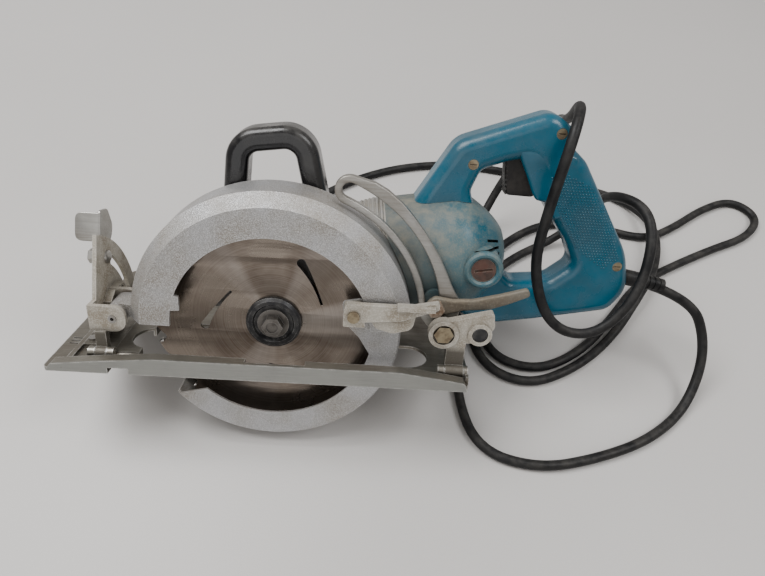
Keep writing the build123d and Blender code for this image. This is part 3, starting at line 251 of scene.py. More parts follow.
def paintSurface(name, spec):
    made = bpy.data.materials.new(name)
    made.use_nodes = True
    tree = made.node_tree
    shader = tree.nodes["Principled BSDF"]
    coords = sawCoords(tree)
    shade = colour(spec["base"])
    patches = span(tree, noise(tree, coords, spec["patchSize"], 6), *maskSet["patch"])
    shade = blendColour(tree, patches, shade, colour(spec["patch"]))
    rough = span(tree, patches, 0, 1, *spec["rough"])
    heights = []
    if "speck" in spec:  # fine salt and pepper of a casting or of grime
        layer = spec["speck"]
        specks = noise(tree, coords, layer["size"], 2)
        shade = paintOver(tree, shade, span(tree, specks, layer["from"], layer["to"]), layer)
        heights.append((specks, layer["depth"]))
    if "brushed" in spec:  # fine lines along one direction
        layer = spec["brushed"]
        lines = noise(tree, stretched(tree, coords, layer["scale"]), 1.0, 3, 0.6)
        shade = paintOver(tree, shade, span(tree, lines, *maskSet["brushed"]), layer)
        heights.append((lines, layer["depth"]))
    if "rings" in spec:  # turned or ground round the arbor
        layer = spec["rings"]
        flat, reach = roundArbor(tree, coords)
        rings = noise(tree, addNode(tree, "CombineXYZ", {0: reach}).outputs[0], layer["size"], 4, 0.7)
        shade = paintOver(tree, shade, span(tree, rings, *maskSet["rings"]), layer)
        heights.append((rings, layer["depth"]))
        # fan-shaped streaks out from the arbor, lighter along some radii: painted highlight
        outward = addNode(tree, "VectorMath", {0: flat}, operation="NORMALIZE").outputs[0]
        fanHighlights = span(tree, noise(tree, outward, layer["fanHighlights"]["size"], 3, 0.5), *maskSet["fanHighlights"])
        shade = paintOver(tree, shade, fanHighlights, layer["fanHighlights"])
        upright = addNode(tree, "VectorMath", {0: outward, 1: (0, 1, 0)}, operation="CROSS_PRODUCT").outputs[0]
        leaned = addNode(tree, "Mapping", {"Vector": upright, "Rotation": (-lean, 0, 0)}, vector_type="VECTOR")
        tree.links.new(leaned.outputs[0], shader.inputs["Tangent"])
        shader.inputs["Anisotropic"].default_value = layer["anisotropic"]
    if "rust" in spec:
        layer = spec["rust"]
        spots = noise(tree, coords, layer["size"], 8, 0.65)
        shown = span(tree, spots, layer["from"], layer["from"] + maskSet["rustWidth"])
        shade = blendColour(tree, shown, shade, colour(layer["shade"]))
        rough = blendValue(tree, shown, rough, maskSet["rustRough"])
        heights.append((spots, maskSet["rustDepth"]))
    if "creviceGrimeAndShade" in spec:  # grime and painted shade where surfaces meet, from ambient occlusion
        layer = spec["creviceGrimeAndShade"]
        bare = addNode(tree, "AmbientOcclusion", {"Distance": layer["reach"]}, samples=4).outputs["AO"]
        held = span(tree, bare, *maskSet["open"], 0, layer["amount"])
        shade = blendColour(tree, held, shade, colour(layer["shade"]))
    if "low" in spec:  # painted shade, darker low down by the base
        layer = spec["low"]
        shown = span(tree, axisOf(tree, coords, 2), layer["below"] + maskSet["lowWidth"], layer["below"], 0,
                     maskSet["lowAmount"])
        shade = blendColour(tree, shown, shade, colour(layer["shade"]))
    if "bladeShade" in spec:  # painted shade in the gap beside the blade, within the blade's reach
        across = axisOf(tree, coords, 1)
        fromArbor = roundArbor(tree, coords)[1]
        behind = maths(tree, "MULTIPLY", span(tree, across, *maskSet["bladeShadeNear"]),
                       span(tree, across, *maskSet["bladeShadeFar"]))
        near = span(tree, fromArbor, *maskSet["bladeShadeReach"], 0, maskSet["bladeShadeAmount"])
        shade = blendColour(tree, maths(tree, "MULTIPLY", behind, near), shade, colour(spec["bladeShade"]["shade"]))
    if "rail" in spec:  # the turned-up edge nearest the blade, lighter than the plate's top
        layer = spec["rail"]
        shown = span(tree, axisOf(tree, coords, 1), layer["below"] + maskSet["railWidth"], layer["below"], 0,
                     layer["amount"])
        shade = blendColour(tree, shown, shade, colour(layer["shade"]))
    if "front" in spec:  # grime thickening towards the gear case
        layer = spec["front"]
        along = axisOf(tree, coords, 0)
        wander = span(tree, noise(tree, coords, maskSet["raggedSize"], 5), 0, 1, -maskSet["ragged"],
                      maskSet["ragged"])
        held = span(tree, maths(tree, "ADD", along, wander), layer["from"], layer["to"], 0, layer["amount"])
        shade = blendColour(tree, held, shade, colour(layer["shade"]))
        rough = blendValue(tree, held, rough, maskSet["frontRough"])
    if "wearAndHighlight" in spec:  # rubbed edges, and painted highlight along the edges
        edges = maths(tree, "MULTIPLY", edgeMask(tree, spec["wearAndHighlight"]["radius"]),
                      span(tree, noise(tree, coords, maskSet["wornAndLitSize"], 4), *maskSet["wornAndLit"]))
        shade = paintOver(tree, shade, edges, spec["wearAndHighlight"])
    if "dust" in spec:  # settled on what faces up
        layer = spec["dust"]
        upward = axisOf(tree, addNode(tree, "NewGeometry").outputs["Normal"], 2)
        drift = maths(tree, "MULTIPLY", span(tree, upward, *maskSet["dustUp"]),
                      span(tree, noise(tree, coords, layer["size"], 5, 0.7), *maskSet["drift"]))
        lying = maths(tree, "MULTIPLY", drift, layer["amount"])
        shade = blendColour(tree, lying, shade, colour(layer["shade"]))
        rough = blendValue(tree, lying, rough, maskSet["dustRough"])
    tree.links.new(shade, shader.inputs["Base Color"])
    tree.links.new(rough, shader.inputs["Roughness"])
    shader.inputs["Metallic"].default_value = spec.get("metallic", 0.0)
    shader.inputs["Specular IOR Level"].default_value = spec.get("specular", 0.5)
    if "grain" in spec:
        heights.append((noise(tree, coords, spec["grain"]["size"], 3), spec["grain"]["depth"]))
    normal = None
    for height, depth in heights:
        bump = addNode(tree, "Bump", {"Height": height, "Distance": depth, "Strength": 1.0})
        if normal is not None:
            tree.links.new(normal, bump.inputs["Normal"])
        normal = bump.outputs[0]
    if normal is not None:
        tree.links.new(normal, shader.inputs["Normal"])
    return made


brightEdge = (0.83, 0.83, 0.82)
surfaceSpecs = {
    "castAlloy": {
        "base": (0.40, 0.40, 0.405), "patch": (0.31, 0.285, 0.25), "patchSize": 26, "metallic": 0.7,
        "rough": (0.36, 0.5),
        "speck": {"size": 1700, "from": 0.46, "to": 0.62, "amount": 0.6, "shade": (0.74, 0.74, 0.75),
            "depth": 0.00045},
        "creviceGrimeAndShade": {"reach": 0.006, "amount": 0.6, "shade": (0.10, 0.09, 0.07)},
        "bladeShade": {"shade": (0.028, 0.025, 0.022)},
        "wearAndHighlight": {"radius": 0.0009, "amount": 0.8, "shade": brightEdge},
        "dust": {"size": 60, "amount": 0.3, "shade": (0.42, 0.38, 0.32)},
    },
    "gearCaseAlloy": {
        "base": (0.34, 0.34, 0.33), "patch": (0.25, 0.24, 0.22), "patchSize": 40, "metallic": 0.6,
        "rough": (0.55, 0.7),
        "speck": {"size": 1100, "from": 0.5, "to": 0.7, "amount": 0.4, "shade": (0.5, 0.49, 0.47),
            "depth": 0.0002},
        "creviceGrimeAndShade": {"reach": 0.008, "amount": 0.8, "shade": (0.08, 0.07, 0.055)},
        "bladeShade": {"shade": (0.028, 0.025, 0.022)},
        "wearAndHighlight": {"radius": 0.0009, "amount": 0.5, "shade": (0.6, 0.6, 0.58)},
        "dust": {"size": 70, "amount": 0.75, "shade": (0.42, 0.37, 0.29)},
    },
    "bracketAlloy": {
        "base": (0.46, 0.43, 0.37), "patch": (0.33, 0.29, 0.23), "patchSize": 70, "metallic": 0.5,
        "rough": (0.45, 0.65),
        "speck": {"size": 900, "from": 0.48, "to": 0.66, "amount": 0.5, "shade": (0.70, 0.67, 0.60),
            "depth": 0.0003},
        "creviceGrimeAndShade": {"reach": 0.007, "amount": 0.85, "shade": (0.09, 0.07, 0.05)},
        "low": {"below": -0.009, "shade": (0.085, 0.075, 0.06)},
        "wearAndHighlight": {"radius": 0.0009, "amount": 0.8, "shade": (0.80, 0.78, 0.72)},
    },
    "basePlateSteel": {
        "base": (0.24, 0.225, 0.19), "patch": (0.14, 0.12, 0.095), "patchSize": 16, "metallic": 0.8,
        "rough": (0.32, 0.5),
        "brushed": {"scale": (60, 1500, 1500), "amount": 0.3, "shade": (0.42, 0.40, 0.36), "depth": 0.00008},
        "rust": {"size": 90, "from": 0.68, "shade": (0.13, 0.085, 0.055)},
        "creviceGrimeAndShade": {"reach": 0.012, "amount": 0.8, "shade": (0.07, 0.058, 0.045)},
        "wearAndHighlight": {"radius": 0.0014, "amount": 0.9, "shade": (0.74, 0.73, 0.70)},
        "rail": {"below": -0.0368, "shade": (0.40, 0.42, 0.41), "amount": 0.6},
        "grain": {"size": 500, "depth": 0.00012},
    },
    "platedSteel": {
        "base": (0.38, 0.37, 0.345), "patch": (0.27, 0.25, 0.22), "patchSize": 24, "metallic": 0.85,
        "rough": (0.34, 0.5),
        "brushed": {"scale": (30, 700, 700), "amount": 0.28, "shade": (0.66, 0.65, 0.62), "depth": 0.00005},
        "rust": {"size": 90, "from": 0.72, "shade": (0.16, 0.10, 0.06)},
        "creviceGrimeAndShade": {"reach": 0.006, "amount": 0.65, "shade": (0.10, 0.085, 0.065)},
        "wearAndHighlight": {"radius": 0.0007, "amount": 0.7, "shade": brightEdge},
        "grain": {"size": 500, "depth": 0.00006},
    },
    "steel": {
        "base": (0.46, 0.45, 0.43), "patch": (0.33, 0.31, 0.28), "patchSize": 120, "metallic": 0.95,
        "rough": (0.28, 0.45),
        "creviceGrimeAndShade": {"reach": 0.004, "amount": 0.6, "shade": (0.08, 0.065, 0.05)},
        "wearAndHighlight": {"radius": 0.0005, "amount": 0.6, "shade": brightEdge},
        "grain": {"size": 900, "depth": 0.00005},
    },
    "darkSteel": {
        "base": (0.035, 0.035, 0.037), "patch": (0.07, 0.068, 0.066), "patchSize": 160, "metallic": 0.7,
        "rough": (0.35, 0.5),
        "wearAndHighlight": {"radius": 0.0006, "amount": 0.8, "shade": (0.5, 0.5, 0.5)},
        "grain": {"size": 900, "depth": 0.00008},
    },
    "bladeSteel": {
        "base": (0.20, 0.165, 0.135), "patch": (0.115, 0.085, 0.065), "patchSize": 24, "metallic": 0.95,
        "rough": (0.26, 0.4),
        "rings": {"size": 760, "amount": 0.45, "shade": (0.33, 0.29, 0.25), "depth": 0.00004,
            "anisotropic": 0.8, "fanHighlights": {"size": 1.5, "amount": 0.4, "shade": (0.50, 0.46, 0.42)}},
        "wearAndHighlight": {"radius": 0.0004, "amount": 0.5, "shade": brightEdge},
    },
    "rustySteel": {
        "base": (0.30, 0.24, 0.19), "patch": (0.17, 0.11, 0.07), "patchSize": 140, "metallic": 0.5,
        "rough": (0.55, 0.8),
        "speck": {"size": 900, "from": 0.5, "to": 0.66, "amount": 0.6, "shade": (0.38, 0.30, 0.23),
            "depth": 0.0003},
        "wearAndHighlight": {"radius": 0.0006, "amount": 0.6, "shade": (0.55, 0.5, 0.44)},
    },
    "tealPlastic": {
        "base": (0.0025, 0.092, 0.150), "patch": (0.004, 0.075, 0.120), "patchSize": 26, "rough": (0.2, 0.32),
        "creviceGrimeAndShade": {"reach": 0.005, "amount": 0.5, "shade": (0.02, 0.04, 0.045)},
        "wearAndHighlight": {"radius": 0.001, "amount": 0.35, "shade": (0.12, 0.30, 0.36)},
        "dust": {"size": 45, "amount": 0.14, "shade": (0.33, 0.27, 0.19)},
        "grain": {"size": 420, "depth": 0.00006},
    },
    "motorPlastic": {
        "base": (0.012, 0.095, 0.135), "patch": (0.05, 0.115, 0.135), "patchSize": 34, "rough": (0.28, 0.5),
        "speck": {"size": 900, "from": 0.5, "to": 0.7, "amount": 0.35, "shade": (0.22, 0.20, 0.15),
            "depth": 0.00004},
        "creviceGrimeAndShade": {"reach": 0.008, "amount": 0.6, "shade": (0.03, 0.04, 0.04)},
        "wearAndHighlight": {"radius": 0.001, "amount": 0.25, "shade": (0.12, 0.26, 0.30)},
        "front": {"from": 0.145, "to": 0.095, "amount": 0.8, "shade": (0.085, 0.092, 0.086)},
        "dust": {"size": 75, "amount": 0.6, "shade": (0.27, 0.24, 0.18)},
        "grain": {"size": 420, "depth": 0.00006},
    },
    "capPlastic": {
        "base": (0.085, 0.035, 0.025), "patch": (0.04, 0.022, 0.018), "patchSize": 160, "rough": (0.4, 0.6),
        "wearAndHighlight": {"radius": 0.0008, "amount": 0.8, "shade": (0.42, 0.33, 0.27)},
        "dust": {"size": 90, "amount": 0.4, "shade": (0.3, 0.24, 0.18)},
    },
    "boltSteel": {
        "base": (0.20, 0.185, 0.17), "patch": (0.10, 0.09, 0.08), "patchSize": 140, "metallic": 0.85,
        "rough": (0.32, 0.5),
        "creviceGrimeAndShade": {"reach": 0.004, "amount": 0.8, "shade": (0.03, 0.03, 0.03)},
        "wearAndHighlight": {"radius": 0.0006, "amount": 0.8, "shade": (0.62, 0.6, 0.58)},
        "grain": {"size": 900, "depth": 0.00008},
    },
    "bronze": {
        "base": (0.36, 0.30, 0.20), "patch": (0.22, 0.17, 0.11), "patchSize": 200, "metallic": 0.85,
        "rough": (0.38, 0.55),
        "creviceGrimeAndShade": {"reach": 0.003, "amount": 0.8, "shade": (0.05, 0.04, 0.03)},
        "wearAndHighlight": {"radius": 0.0004, "amount": 0.8, "shade": (0.62, 0.56, 0.44)},
    },
    "leverSteel": {
        "base": (0.17, 0.155, 0.125), "patch": (0.12, 0.10, 0.075), "patchSize": 60, "metallic": 0.35,
        "rough": (0.55, 0.8),
        "speck": {"size": 700, "from": 0.5, "to": 0.68, "amount": 0.4, "shade": (0.30, 0.26, 0.2),
            "depth": 0.0001},
        "wearAndHighlight": {"radius": 0.0012, "amount": 0.9, "shade": (0.6, 0.57, 0.5)},
        "dust": {"size": 60, "amount": 0.5, "shade": (0.32, 0.27, 0.2)},
    },
    "blackPlastic": {
        "base": (0.005, 0.005, 0.006), "patch": (0.01, 0.01, 0.011), "patchSize": 60, "rough": (0.16, 0.28),
        "wearAndHighlight": {"radius": 0.0009, "amount": 0.3, "shade": (0.16, 0.16, 0.16)},
        "dust": {"size": 60, "amount": 0.18, "shade": (0.3, 0.28, 0.25)},
        "grain": {"size": 700, "depth": 0.00006},
    },
    "darkPlastic": {
        "base": (0.012, 0.010, 0.010), "patch": (0.022, 0.019, 0.018), "patchSize": 80, "specular": 0.3,
        "rough": (0.45, 0.6),
        "wearAndHighlight": {"radius": 0.0007, "amount": 0.4, "shade": (0.22, 0.22, 0.22)},
        "dust": {"size": 60, "amount": 0.3, "shade": (0.3, 0.27, 0.22)},
        "grain": {"size": 800, "depth": 0.00008},
    },
    "rubber": {
        "base": (0.006, 0.006, 0.0065), "patch": (0.012, 0.012, 0.0125), "patchSize": 50, "specular": 0.25,
        "rough": (0.42, 0.58),
        "dust": {"size": 90, "amount": 0.14, "shade": (0.28, 0.26, 0.23)},
        "grain": {"size": 1300, "depth": 0.00008},
    },
    "brass": {
        "base": (0.58, 0.40, 0.17), "patch": (0.40, 0.28, 0.13), "patchSize": 200, "metallic": 0.95,
        "rough": (0.28, 0.45),
        "creviceGrimeAndShade": {"reach": 0.003, "amount": 0.7, "shade": (0.12, 0.08, 0.04)},
        "wearAndHighlight": {"radius": 0.0004, "amount": 0.6, "shade": (0.8, 0.66, 0.42)},
    },
    "copper": {
        "base": (0.55, 0.26, 0.13), "patch": (0.42, 0.18, 0.09), "patchSize": 120, "metallic": 0.9,
        "rough": (0.3, 0.45),
        "brushed": {"scale": (60, 1400, 1400), "amount": 0.4, "shade": (0.24, 0.10, 0.05), "depth": 0.0002},
    },
    "carbon": {
        "base": (0.02, 0.02, 0.02), "patch": (0.035, 0.035, 0.035), "patchSize": 200, "rough": (0.5, 0.65),
        "grain": {"size": 1500, "depth": 0.0001},
    },
    "laminations": {
        "base": (0.33, 0.33, 0.34), "patch": (0.25, 0.24, 0.23), "patchSize": 80, "metallic": 0.9,
        "rough": (0.35, 0.5),
        "brushed": {"scale": (1600, 20, 20), "amount": 0.6, "shade": (0.12, 0.12, 0.12), "depth": 0.0002},
    },
}
surfaces = {name: paintSurface(name, spec) for name, spec in surfaceSpecs.items()}
slotSurfaces = {
    "cast_alloy": "castAlloy", "gear_case": "gearCaseAlloy", "plated_steel": "platedSteel", "steel": "steel",
    "dark_steel": "darkSteel", "blade_steel": "bladeSteel", "rusty_steel": "rustySteel",
    "teal_plastic": "tealPlastic", "black_plastic": "blackPlastic", "dark_plastic": "darkPlastic",
    "rubber": "rubber", "brass": "brass", "copper": "copper", "carbon": "carbon", "laminations": "laminations",
}
ownSurfaces = {"motor_housing": "motorPlastic", "outer_flange": "darkSteel", "brush_caps": "capPlastic",
               "base_plate": "basePlateSteel", "rear_bracket": "bracketAlloy", "front_bracket": "bracketAlloy",
               "guard_lever": "bracketAlloy", "front_upright": "bracketAlloy", "bevel_hinge_pins": "leverSteel",
               "handle_screws": "bronze", "link_pivot_bolt": "bronze", "guard_lever_screw": "bronze",
               "blade_bolt": "boltSteel"}
for part in frame["record"]["subparts"]:
    mesh = nodes[part["node"]].data
    chosen = surfaces[ownSurfaces.get(part["node"], slotSurfaces[part["material_slot"]])]
    if not mesh.materials:
        mesh.materials.append(chosen)
    for i in range(len(mesh.materials)):
        mesh.materials[i] = chosen
print("materials made:", len(surfaces))


# the saw's own pieces
bodySurfaces = {surface: slot for slot, surface in slotSurfaces.items()}
bodySurfaces.update(motorPlastic="teal_plastic", leverSteel="rusty_steel")
# drawn in X and Y, stood in X and Z
flatToSide = Matrix(((1, 0, 0, 0), (0, 0, -1, 0), (0, 1, 0, 0), (0, 0, 0, 1)))


def meshOf(holder):
    bpy.context.scene.collection.objects.link(holder)
    made = bpy.data.meshes.new_from_object(holder.evaluated_get(bpy.context.evaluated_depsgraph_get()))
    bpy.data.objects.remove(holder)
    return made


def addPiece(name, mesh, body, surface, place=None, smoothAngle=35, replaced=()):
    mesh.transform(setDown @ (place or Matrix.Identity(4)))
    mesh.materials.clear()
    mesh.materials.append(surfaces[surface])
    for face in mesh.polygons:
        face.use_smooth = True
    if smoothAngle:
        mesh.set_sharp_from_angle(angle=math.radians(smoothAngle))
    piece = addObject(name, mesh)
    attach(piece, body)
    if replaced:
        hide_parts(*replaced)
    return piece


def polar(reach, degrees, x=0.0, z=0.0):
    return (x + reach * math.cos(math.radians(degrees)), z + reach * math.sin(math.radians(degrees)))


def roundedRim(corners, steps=6):
    # corners are x, z and radius
    rim = []
    count = len(corners)
    for i in range(count):
        corner = Vector(corners[i][:2])
        back = Vector(corners[i - 1][:2]) - corner
        on = Vector(corners[(i + 1) % count][:2]) - corner
        half = back.angle(on) / 2
        reach = min(corners[i][2] / math.tan(half), 0.49 * back.length, 0.49 * on.length)
        start = corner + back.normalized() * reach
        end = corner + on.normalized() * reach
        for k in range(steps + 1):
            t = k / steps
            rim.append(tuple(start * (1 - t) ** 2 + corner * 2 * t * (1 - t) + end * t ** 2))
    return rim


def arcRim(reach, start, end, steps, x=0.0, z=0.0):
    return [polar(reach, start + (end - start) * k / steps, x, z) for k in range(steps + 1)]


def closeWork(work, mesh):
    bmesh.ops.recalc_face_normals(work, faces=work.faces)
    work.to_mesh(mesh)
    work.free()


weldReach = 0.0005  # millimetres


def cutPlate(rims, thick, rounding):
    # a flat curve of rims, the first outermost, with rounded edges, centred on its thickness
    curve = bpy.data.curves.new("cut", "CURVE")
    curve.dimensions = "2D"
    curve.fill_mode = "BOTH"
    curve.extrude = thick / 2 - rounding
    curve.bevel_depth = rounding
    curve.bevel_resolution = 2
    curve.offset = -rounding
    for rim in rims:
        line = curve.splines.new("POLY")
        line.points.add(len(rim) - 1)
        for point, place in zip(line.points, rim):
            point.co = (*place, 0, 1)
        line.use_cyclic_u = True
    mesh = meshOf(bpy.data.objects.new("cut", curve))
    work = bmesh.new()
    work.from_mesh(mesh)
    bmesh.ops.remove_doubles(work, verts=work.verts, dist=weldReach)
    closeWork(work, mesh)
    return mesh


def sideways(y):
    return Matrix.Translation((0, y, 0)) @ flatToSide


# repeats, made with Geometry Nodes
def startTree(name, sizes, ground=False):
    tree = bpy.data.node_groups.new(name, "GeometryNodeTree")
    if ground:
        tree.interface.new_socket("Ground", in_out="INPUT", socket_type="NodeSocketGeometry")
    tree.interface.new_socket("Geometry", in_out="OUTPUT", socket_type="NodeSocketGeometry")
    keys = {}
    for label, value in sizes.items():
        kind = "NodeSocketInt" if isinstance(value, int) else "NodeSocketFloat"
        keys[label] = tree.interface.new_socket(label, in_out="INPUT", socket_type=kind).identifier
    return tree, tree.nodes.new("NodeGroupInput"), tree.nodes.new("NodeGroupOutput"), keys


def endTree(tree, out, geometry, surface):
    real = geoNode(tree, "RealizeInstances", {"Geometry": geometry})
    painted = geoNode(tree, "SetMaterial", {"Geometry": real.outputs[0]})
    painted.inputs["Material"].default_value = surfaces[surface]
    tree.links.new(painted.outputs[0], out.inputs[0])


def runTree(tree, keys, sizes, ground=None):
    holder = bpy.data.objects.new(tree.name, ground or bpy.data.meshes.new(tree.name))
    grown = holder.modifiers.new("grow", "NODES")
    grown.node_group = tree
    for label, value in sizes.items():
        grown[keys[label]] = value
    return meshOf(holder)


# blade with three tapered slots and hooked teeth
bladeSet = {
    "reach": 92.5, "teeth": 24, "bore": 7.9, "thick": 1.8, "rounding": 0.15,
    # how far in from the tip, and how far along the pitch
    "tooth": ((0, 0), (0.9, 0.25), (2.0, 0.45), (4.4, 0.63), (6.5, 0.76), (7.0, 0.86), (5.3, 0.96)),
    "slot": {"head": (53.5, 187.5), "tail": (39.5, 143.5), "bow": 3.0, "wide": 2.4, "narrow": 0.9,
             "taper": 2.2, "steps": 12, "capSteps": 8, "turns": (0, 120, 240)},
}


def taperedSlot(turn, spec):
    headReach, headAngle = spec["head"]
    tailReach, tailAngle = spec["tail"]
    head = Vector(polar(headReach, headAngle + turn))
    tail = Vector(polar(tailReach, tailAngle + turn))
    middle = (head + tail) / 2 + (head + tail).normalized() * spec["bow"]
    left, right, cap = [], [], []
    for k in range(spec["steps"] + 1):
        t = k / spec["steps"]
        spot = head * (1 - t) ** 2 + middle * 2 * t * (1 - t) + tail * t ** 2
        ahead = ((middle - head) * (1 - t) + (tail - middle) * t).normalized()
        half = spec["wide"] * (1 - t) ** spec["taper"] + spec["narrow"]
        side = Vector((-ahead.y, ahead.x)) * half
        left.append(tuple(spot + side))
        right.append(tuple(spot - side))
    ahead = (head - middle).normalized()
    side = Vector((-ahead.y, ahead.x))
    for k in range(1, spec["capSteps"]):
        swing = math.pi * k / spec["capSteps"]
        cap.append(tuple(head + (side * math.cos(swing) + ahead * math.sin(swing))
                         * (spec["wide"] + spec["narrow"])))
    return left + right[::-1] + cap


def makeBlade(spec):
    pitch = 360 / spec["teeth"]
    rim = [polar(spec["reach"] - inward, (i + share) * pitch) for i in range(spec["teeth"]) for inward,
           share in spec["tooth"]]
    rims = [rim, arcRim(spec["bore"], 360, 0, 48)[:-1]]
    rims += [taperedSlot(turn, spec["slot"]) for turn in spec["slot"]["turns"]]
    addPiece("bladeDisc", cutPlate(rims, spec["thick"], spec["rounding"]), "blade_drive", "bladeSteel",
             sideways(0), replaced=("blade",))


tipSet = {"Count": 24, "Reach": 90.2, "Width": 1.5, "Height": 5.0, "Kerf": 2.4}
tipTurn = -0.5  # degrees


def makeTips(sizes):
    # carbide tips: a ring of points, each with a small block on the tooth's face
    tree, start, out, keys = startTree("bladeTips", sizes)
    circle = geoNode(tree, "CurvePrimitiveCircle", {"Radius": start.outputs["Reach"]})
    spots = geoNode(tree, "CurveToPoints", {"Curve": circle.outputs[0], "Count": start.outputs["Count"]},
                    mode="COUNT")
    size = addNode(tree, "CombineXYZ", {"X": start.outputs["Kerf"], "Y": start.outputs["Height"],
            "Z": start.outputs["Width"]})
    tip = geoNode(tree, "MeshCube", {"Size": size.outputs[0]})
    placed = geoNode(tree, "InstanceOnPoints", {"Points": spots.outputs["Points"],
            "Instance": tip.outputs["Mesh"], "Rotation": spots.outputs["Rotation"]})
    endTree(tree, out, placed.outputs[0], "steel")
    mesh = runTree(tree, keys, sizes)
    addPiece("bladeTips", mesh, "blade_drive", "steel", sideways(0)
             @ Matrix.Rotation(math.radians(tipTurn), 4, "Z"), 0)


makeBlade(bladeSet)
makeTips(tipSet)
print("blade made")

# hairpin link over the motor, wide slot and two slim bars
linkSet = {
    "centre": (11.0, 3.5), "slot": 110.8, "half": 5.5, "inner": 5.3, "first": 4, "start": 8.6, "end": 67.4,
    "front": 1.5, "thick": 6.0, "rounding": 1.1,
    # angle and how far beyond the slot's middle the outer edge lies there, then the corners of the foot
    "outer": ((61, 13.6), (56, 14.2), (50, 13.8), (44, 13.0), (38, 12.6), (32, 12.8), (26, 13.6),
              (20, 14.6), (15, 16.2), (12, 18.0), (9.5, 20.5)),
    "foot": ((142, 16), (139, 4), (133, -2.5), (122, -2), (117.5, 2)),
}


def makeLink(spec):
    cx, cz = spec["centre"]
    crown = polar(spec["slot"], spec["end"], cx, cz)
    low = polar(spec["slot"], spec["start"], cx, cz)
    innerReach = spec["slot"] - spec["half"] - spec["inner"]
    crownReach = spec["half"] + spec["inner"]
    rim = arcRim(innerReach, spec["first"], spec["end"], 40, cx, cz)
    rim += [polar(crownReach, spec["end"] + 180 - 180 * k / 14, *crown) for k in range(1, 15)]
    outer = [(spec["end"] - 3, 11.8), *spec["outer"]]
    rim += [polar(spec["slot"] + more, angle, cx, cz) for angle, more in outer]
    rim += spec["foot"]
    hole = arcRim(spec["slot"] - spec["half"], spec["start"], spec["end"], 36, cx, cz)
    hole += [polar(spec["half"], spec["end"] + 180 - 180 * k / 10, *crown) for k in range(1, 10)]
    hole += arcRim(spec["slot"] + spec["half"], spec["end"], spec["start"], 36, cx, cz)
    hole += [polar(spec["half"], spec["start"] - 180 * k / 10, *low) for k in range(1, 10)]
    middle = spec["front"] + spec["thick"] / 2
    addPiece("hairpinLink", cutPlate([rim, hole], spec["thick"], spec["rounding"]), "depth_link", "platedSteel",
             sideways(middle), replaced=("depth_link",))


makeLink(linkSet)

# clamp lever of the depth link, dusty and low beside the motor
leverSet = {"bolt": (121.92, 21.07), "bore": 3.0, "y": -1.95, "thick": 5.0, "rounding": 1.4,
            "rim": ((116, 15, 5), (131, 15.5, 6), (144, 19.5, 12), (163, 21.5, 20), (177, 27, 20),
                    (192.5, 34.5, 3), (190, 40.5, 3), (170, 34, 16), (150, 28.5, 16), (134, 27.5, 10),
                    (121, 29.5, 5), (115, 24, 5))}


def makeLever(spec):
    hole = arcRim(spec["bore"], 360, 0, 20, *spec["bolt"])[:-1]
    mesh = cutPlate([roundedRim(spec["rim"]), hole], spec["thick"], spec["rounding"])
    addPiece("clampLever", mesh, "depth_lever", "leverSteel", sideways(spec["y"]),
             replaced=("depth_lock_lever",))


makeLever(leverSet)

# ribbed trigger and the web of the grip behind it
triggerSet = {
    "rim": ((169.5, 131, 3), (171.5, 112, 14), (174.5, 95.5, 4), (195, 95, 4), (201, 99, 4), (200, 122, 6),
            (184, 134, 5)),
    "y": 58.0, "thick": 13.6, "rounding": 1.6, "ribsAt": (174.0, 97.0), "ribsLean": -4.5, "ribTurn": 45,
}
triggerRibSet = {"Count": 9, "Pitch": 3.6, "Reach": 14.2, "Thick": 1.3}
webSet = {
    "rim": ((176, 134, 6), (181, 124, 6), (186.5, 114, 8), (193.5, 100, 6), (197, 95, 5), (206, 93.5, 4),
            (214, 80, 3), (226, 84, 3), (224, 130, 5), (200, 138, 5)),
    "places": (46.1, 69.9), "thick": 7.6, "rounding": 2.4,
}


def makeTrigger(spec, ribs):
    addPiece("triggerPaddle", cutPlate([roundedRim(spec["rim"])], spec["thick"], spec["rounding"]), "trigger",
             "darkPlastic", sideways(spec["y"]), replaced=("trigger",))
    tree, start, out, keys = startTree("triggerRibs", ribs)
    offset = addNode(tree, "CombineXYZ", {"Y": start.outputs["Pitch"]})
    row = geoNode(tree, "MeshLine", {"Count": start.outputs["Count"], "Offset": offset.outputs[0]})
    size = addNode(tree, "CombineXYZ", {"X": start.outputs["Thick"], "Y": start.outputs["Thick"],
            "Z": start.outputs["Reach"]})
    bar = geoNode(tree, "MeshCube", {"Size": size.outputs[0]})
    turn = joinNode(tree, "FunctionNodeInputVector")
    turn.vector = (0, 0, math.radians(spec["ribTurn"]))
    placed = geoNode(tree, "InstanceOnPoints", {"Points": row.outputs[0], "Instance": bar.outputs["Mesh"],
            "Rotation": turn.outputs[0]})
    endTree(tree, out, placed.outputs[0], "darkPlastic")
    ribsX, ribsZ = spec["ribsAt"]
    low = (Matrix.Translation((ribsX, spec["y"], ribsZ))
           @ Matrix.Rotation(math.radians(spec["ribsLean"]), 4, "Y") @ flatToSide)
    addPiece("triggerRibs", runTree(tree, keys, ribs), "trigger", "darkPlastic", low)


def makeWeb(spec):
    for side, y in zip(("left", "right"), spec["places"]):
        mesh = cutPlate([roundedRim(spec["rim"])], spec["thick"], spec["rounding"])
        addPiece("gripWeb_" + side, mesh, "saw_body", "tealPlastic", sideways(y))


makeTrigger(triggerSet, triggerRibSet)
makeWeb(webSet)
print("link, lever and trigger made")

# knurled sides of the grip: small pyramids set on the skin of each half
studSet = {
    "sizes": {"Height": 0.7, "Foot": 1.05}, "top": 0.25, "sink": 0.15, "pitch": 2.3, "rows": 46,
    "corner": (200, 38), "middle": 58, "standOff": 40, "far": 0.06, "facing": -0.6,
    "region": ((205, 114), (210.4, 120), (239, 108), (264.5, 74), (272, 50), (260, 41), (236, 58), (215, 86)),
}


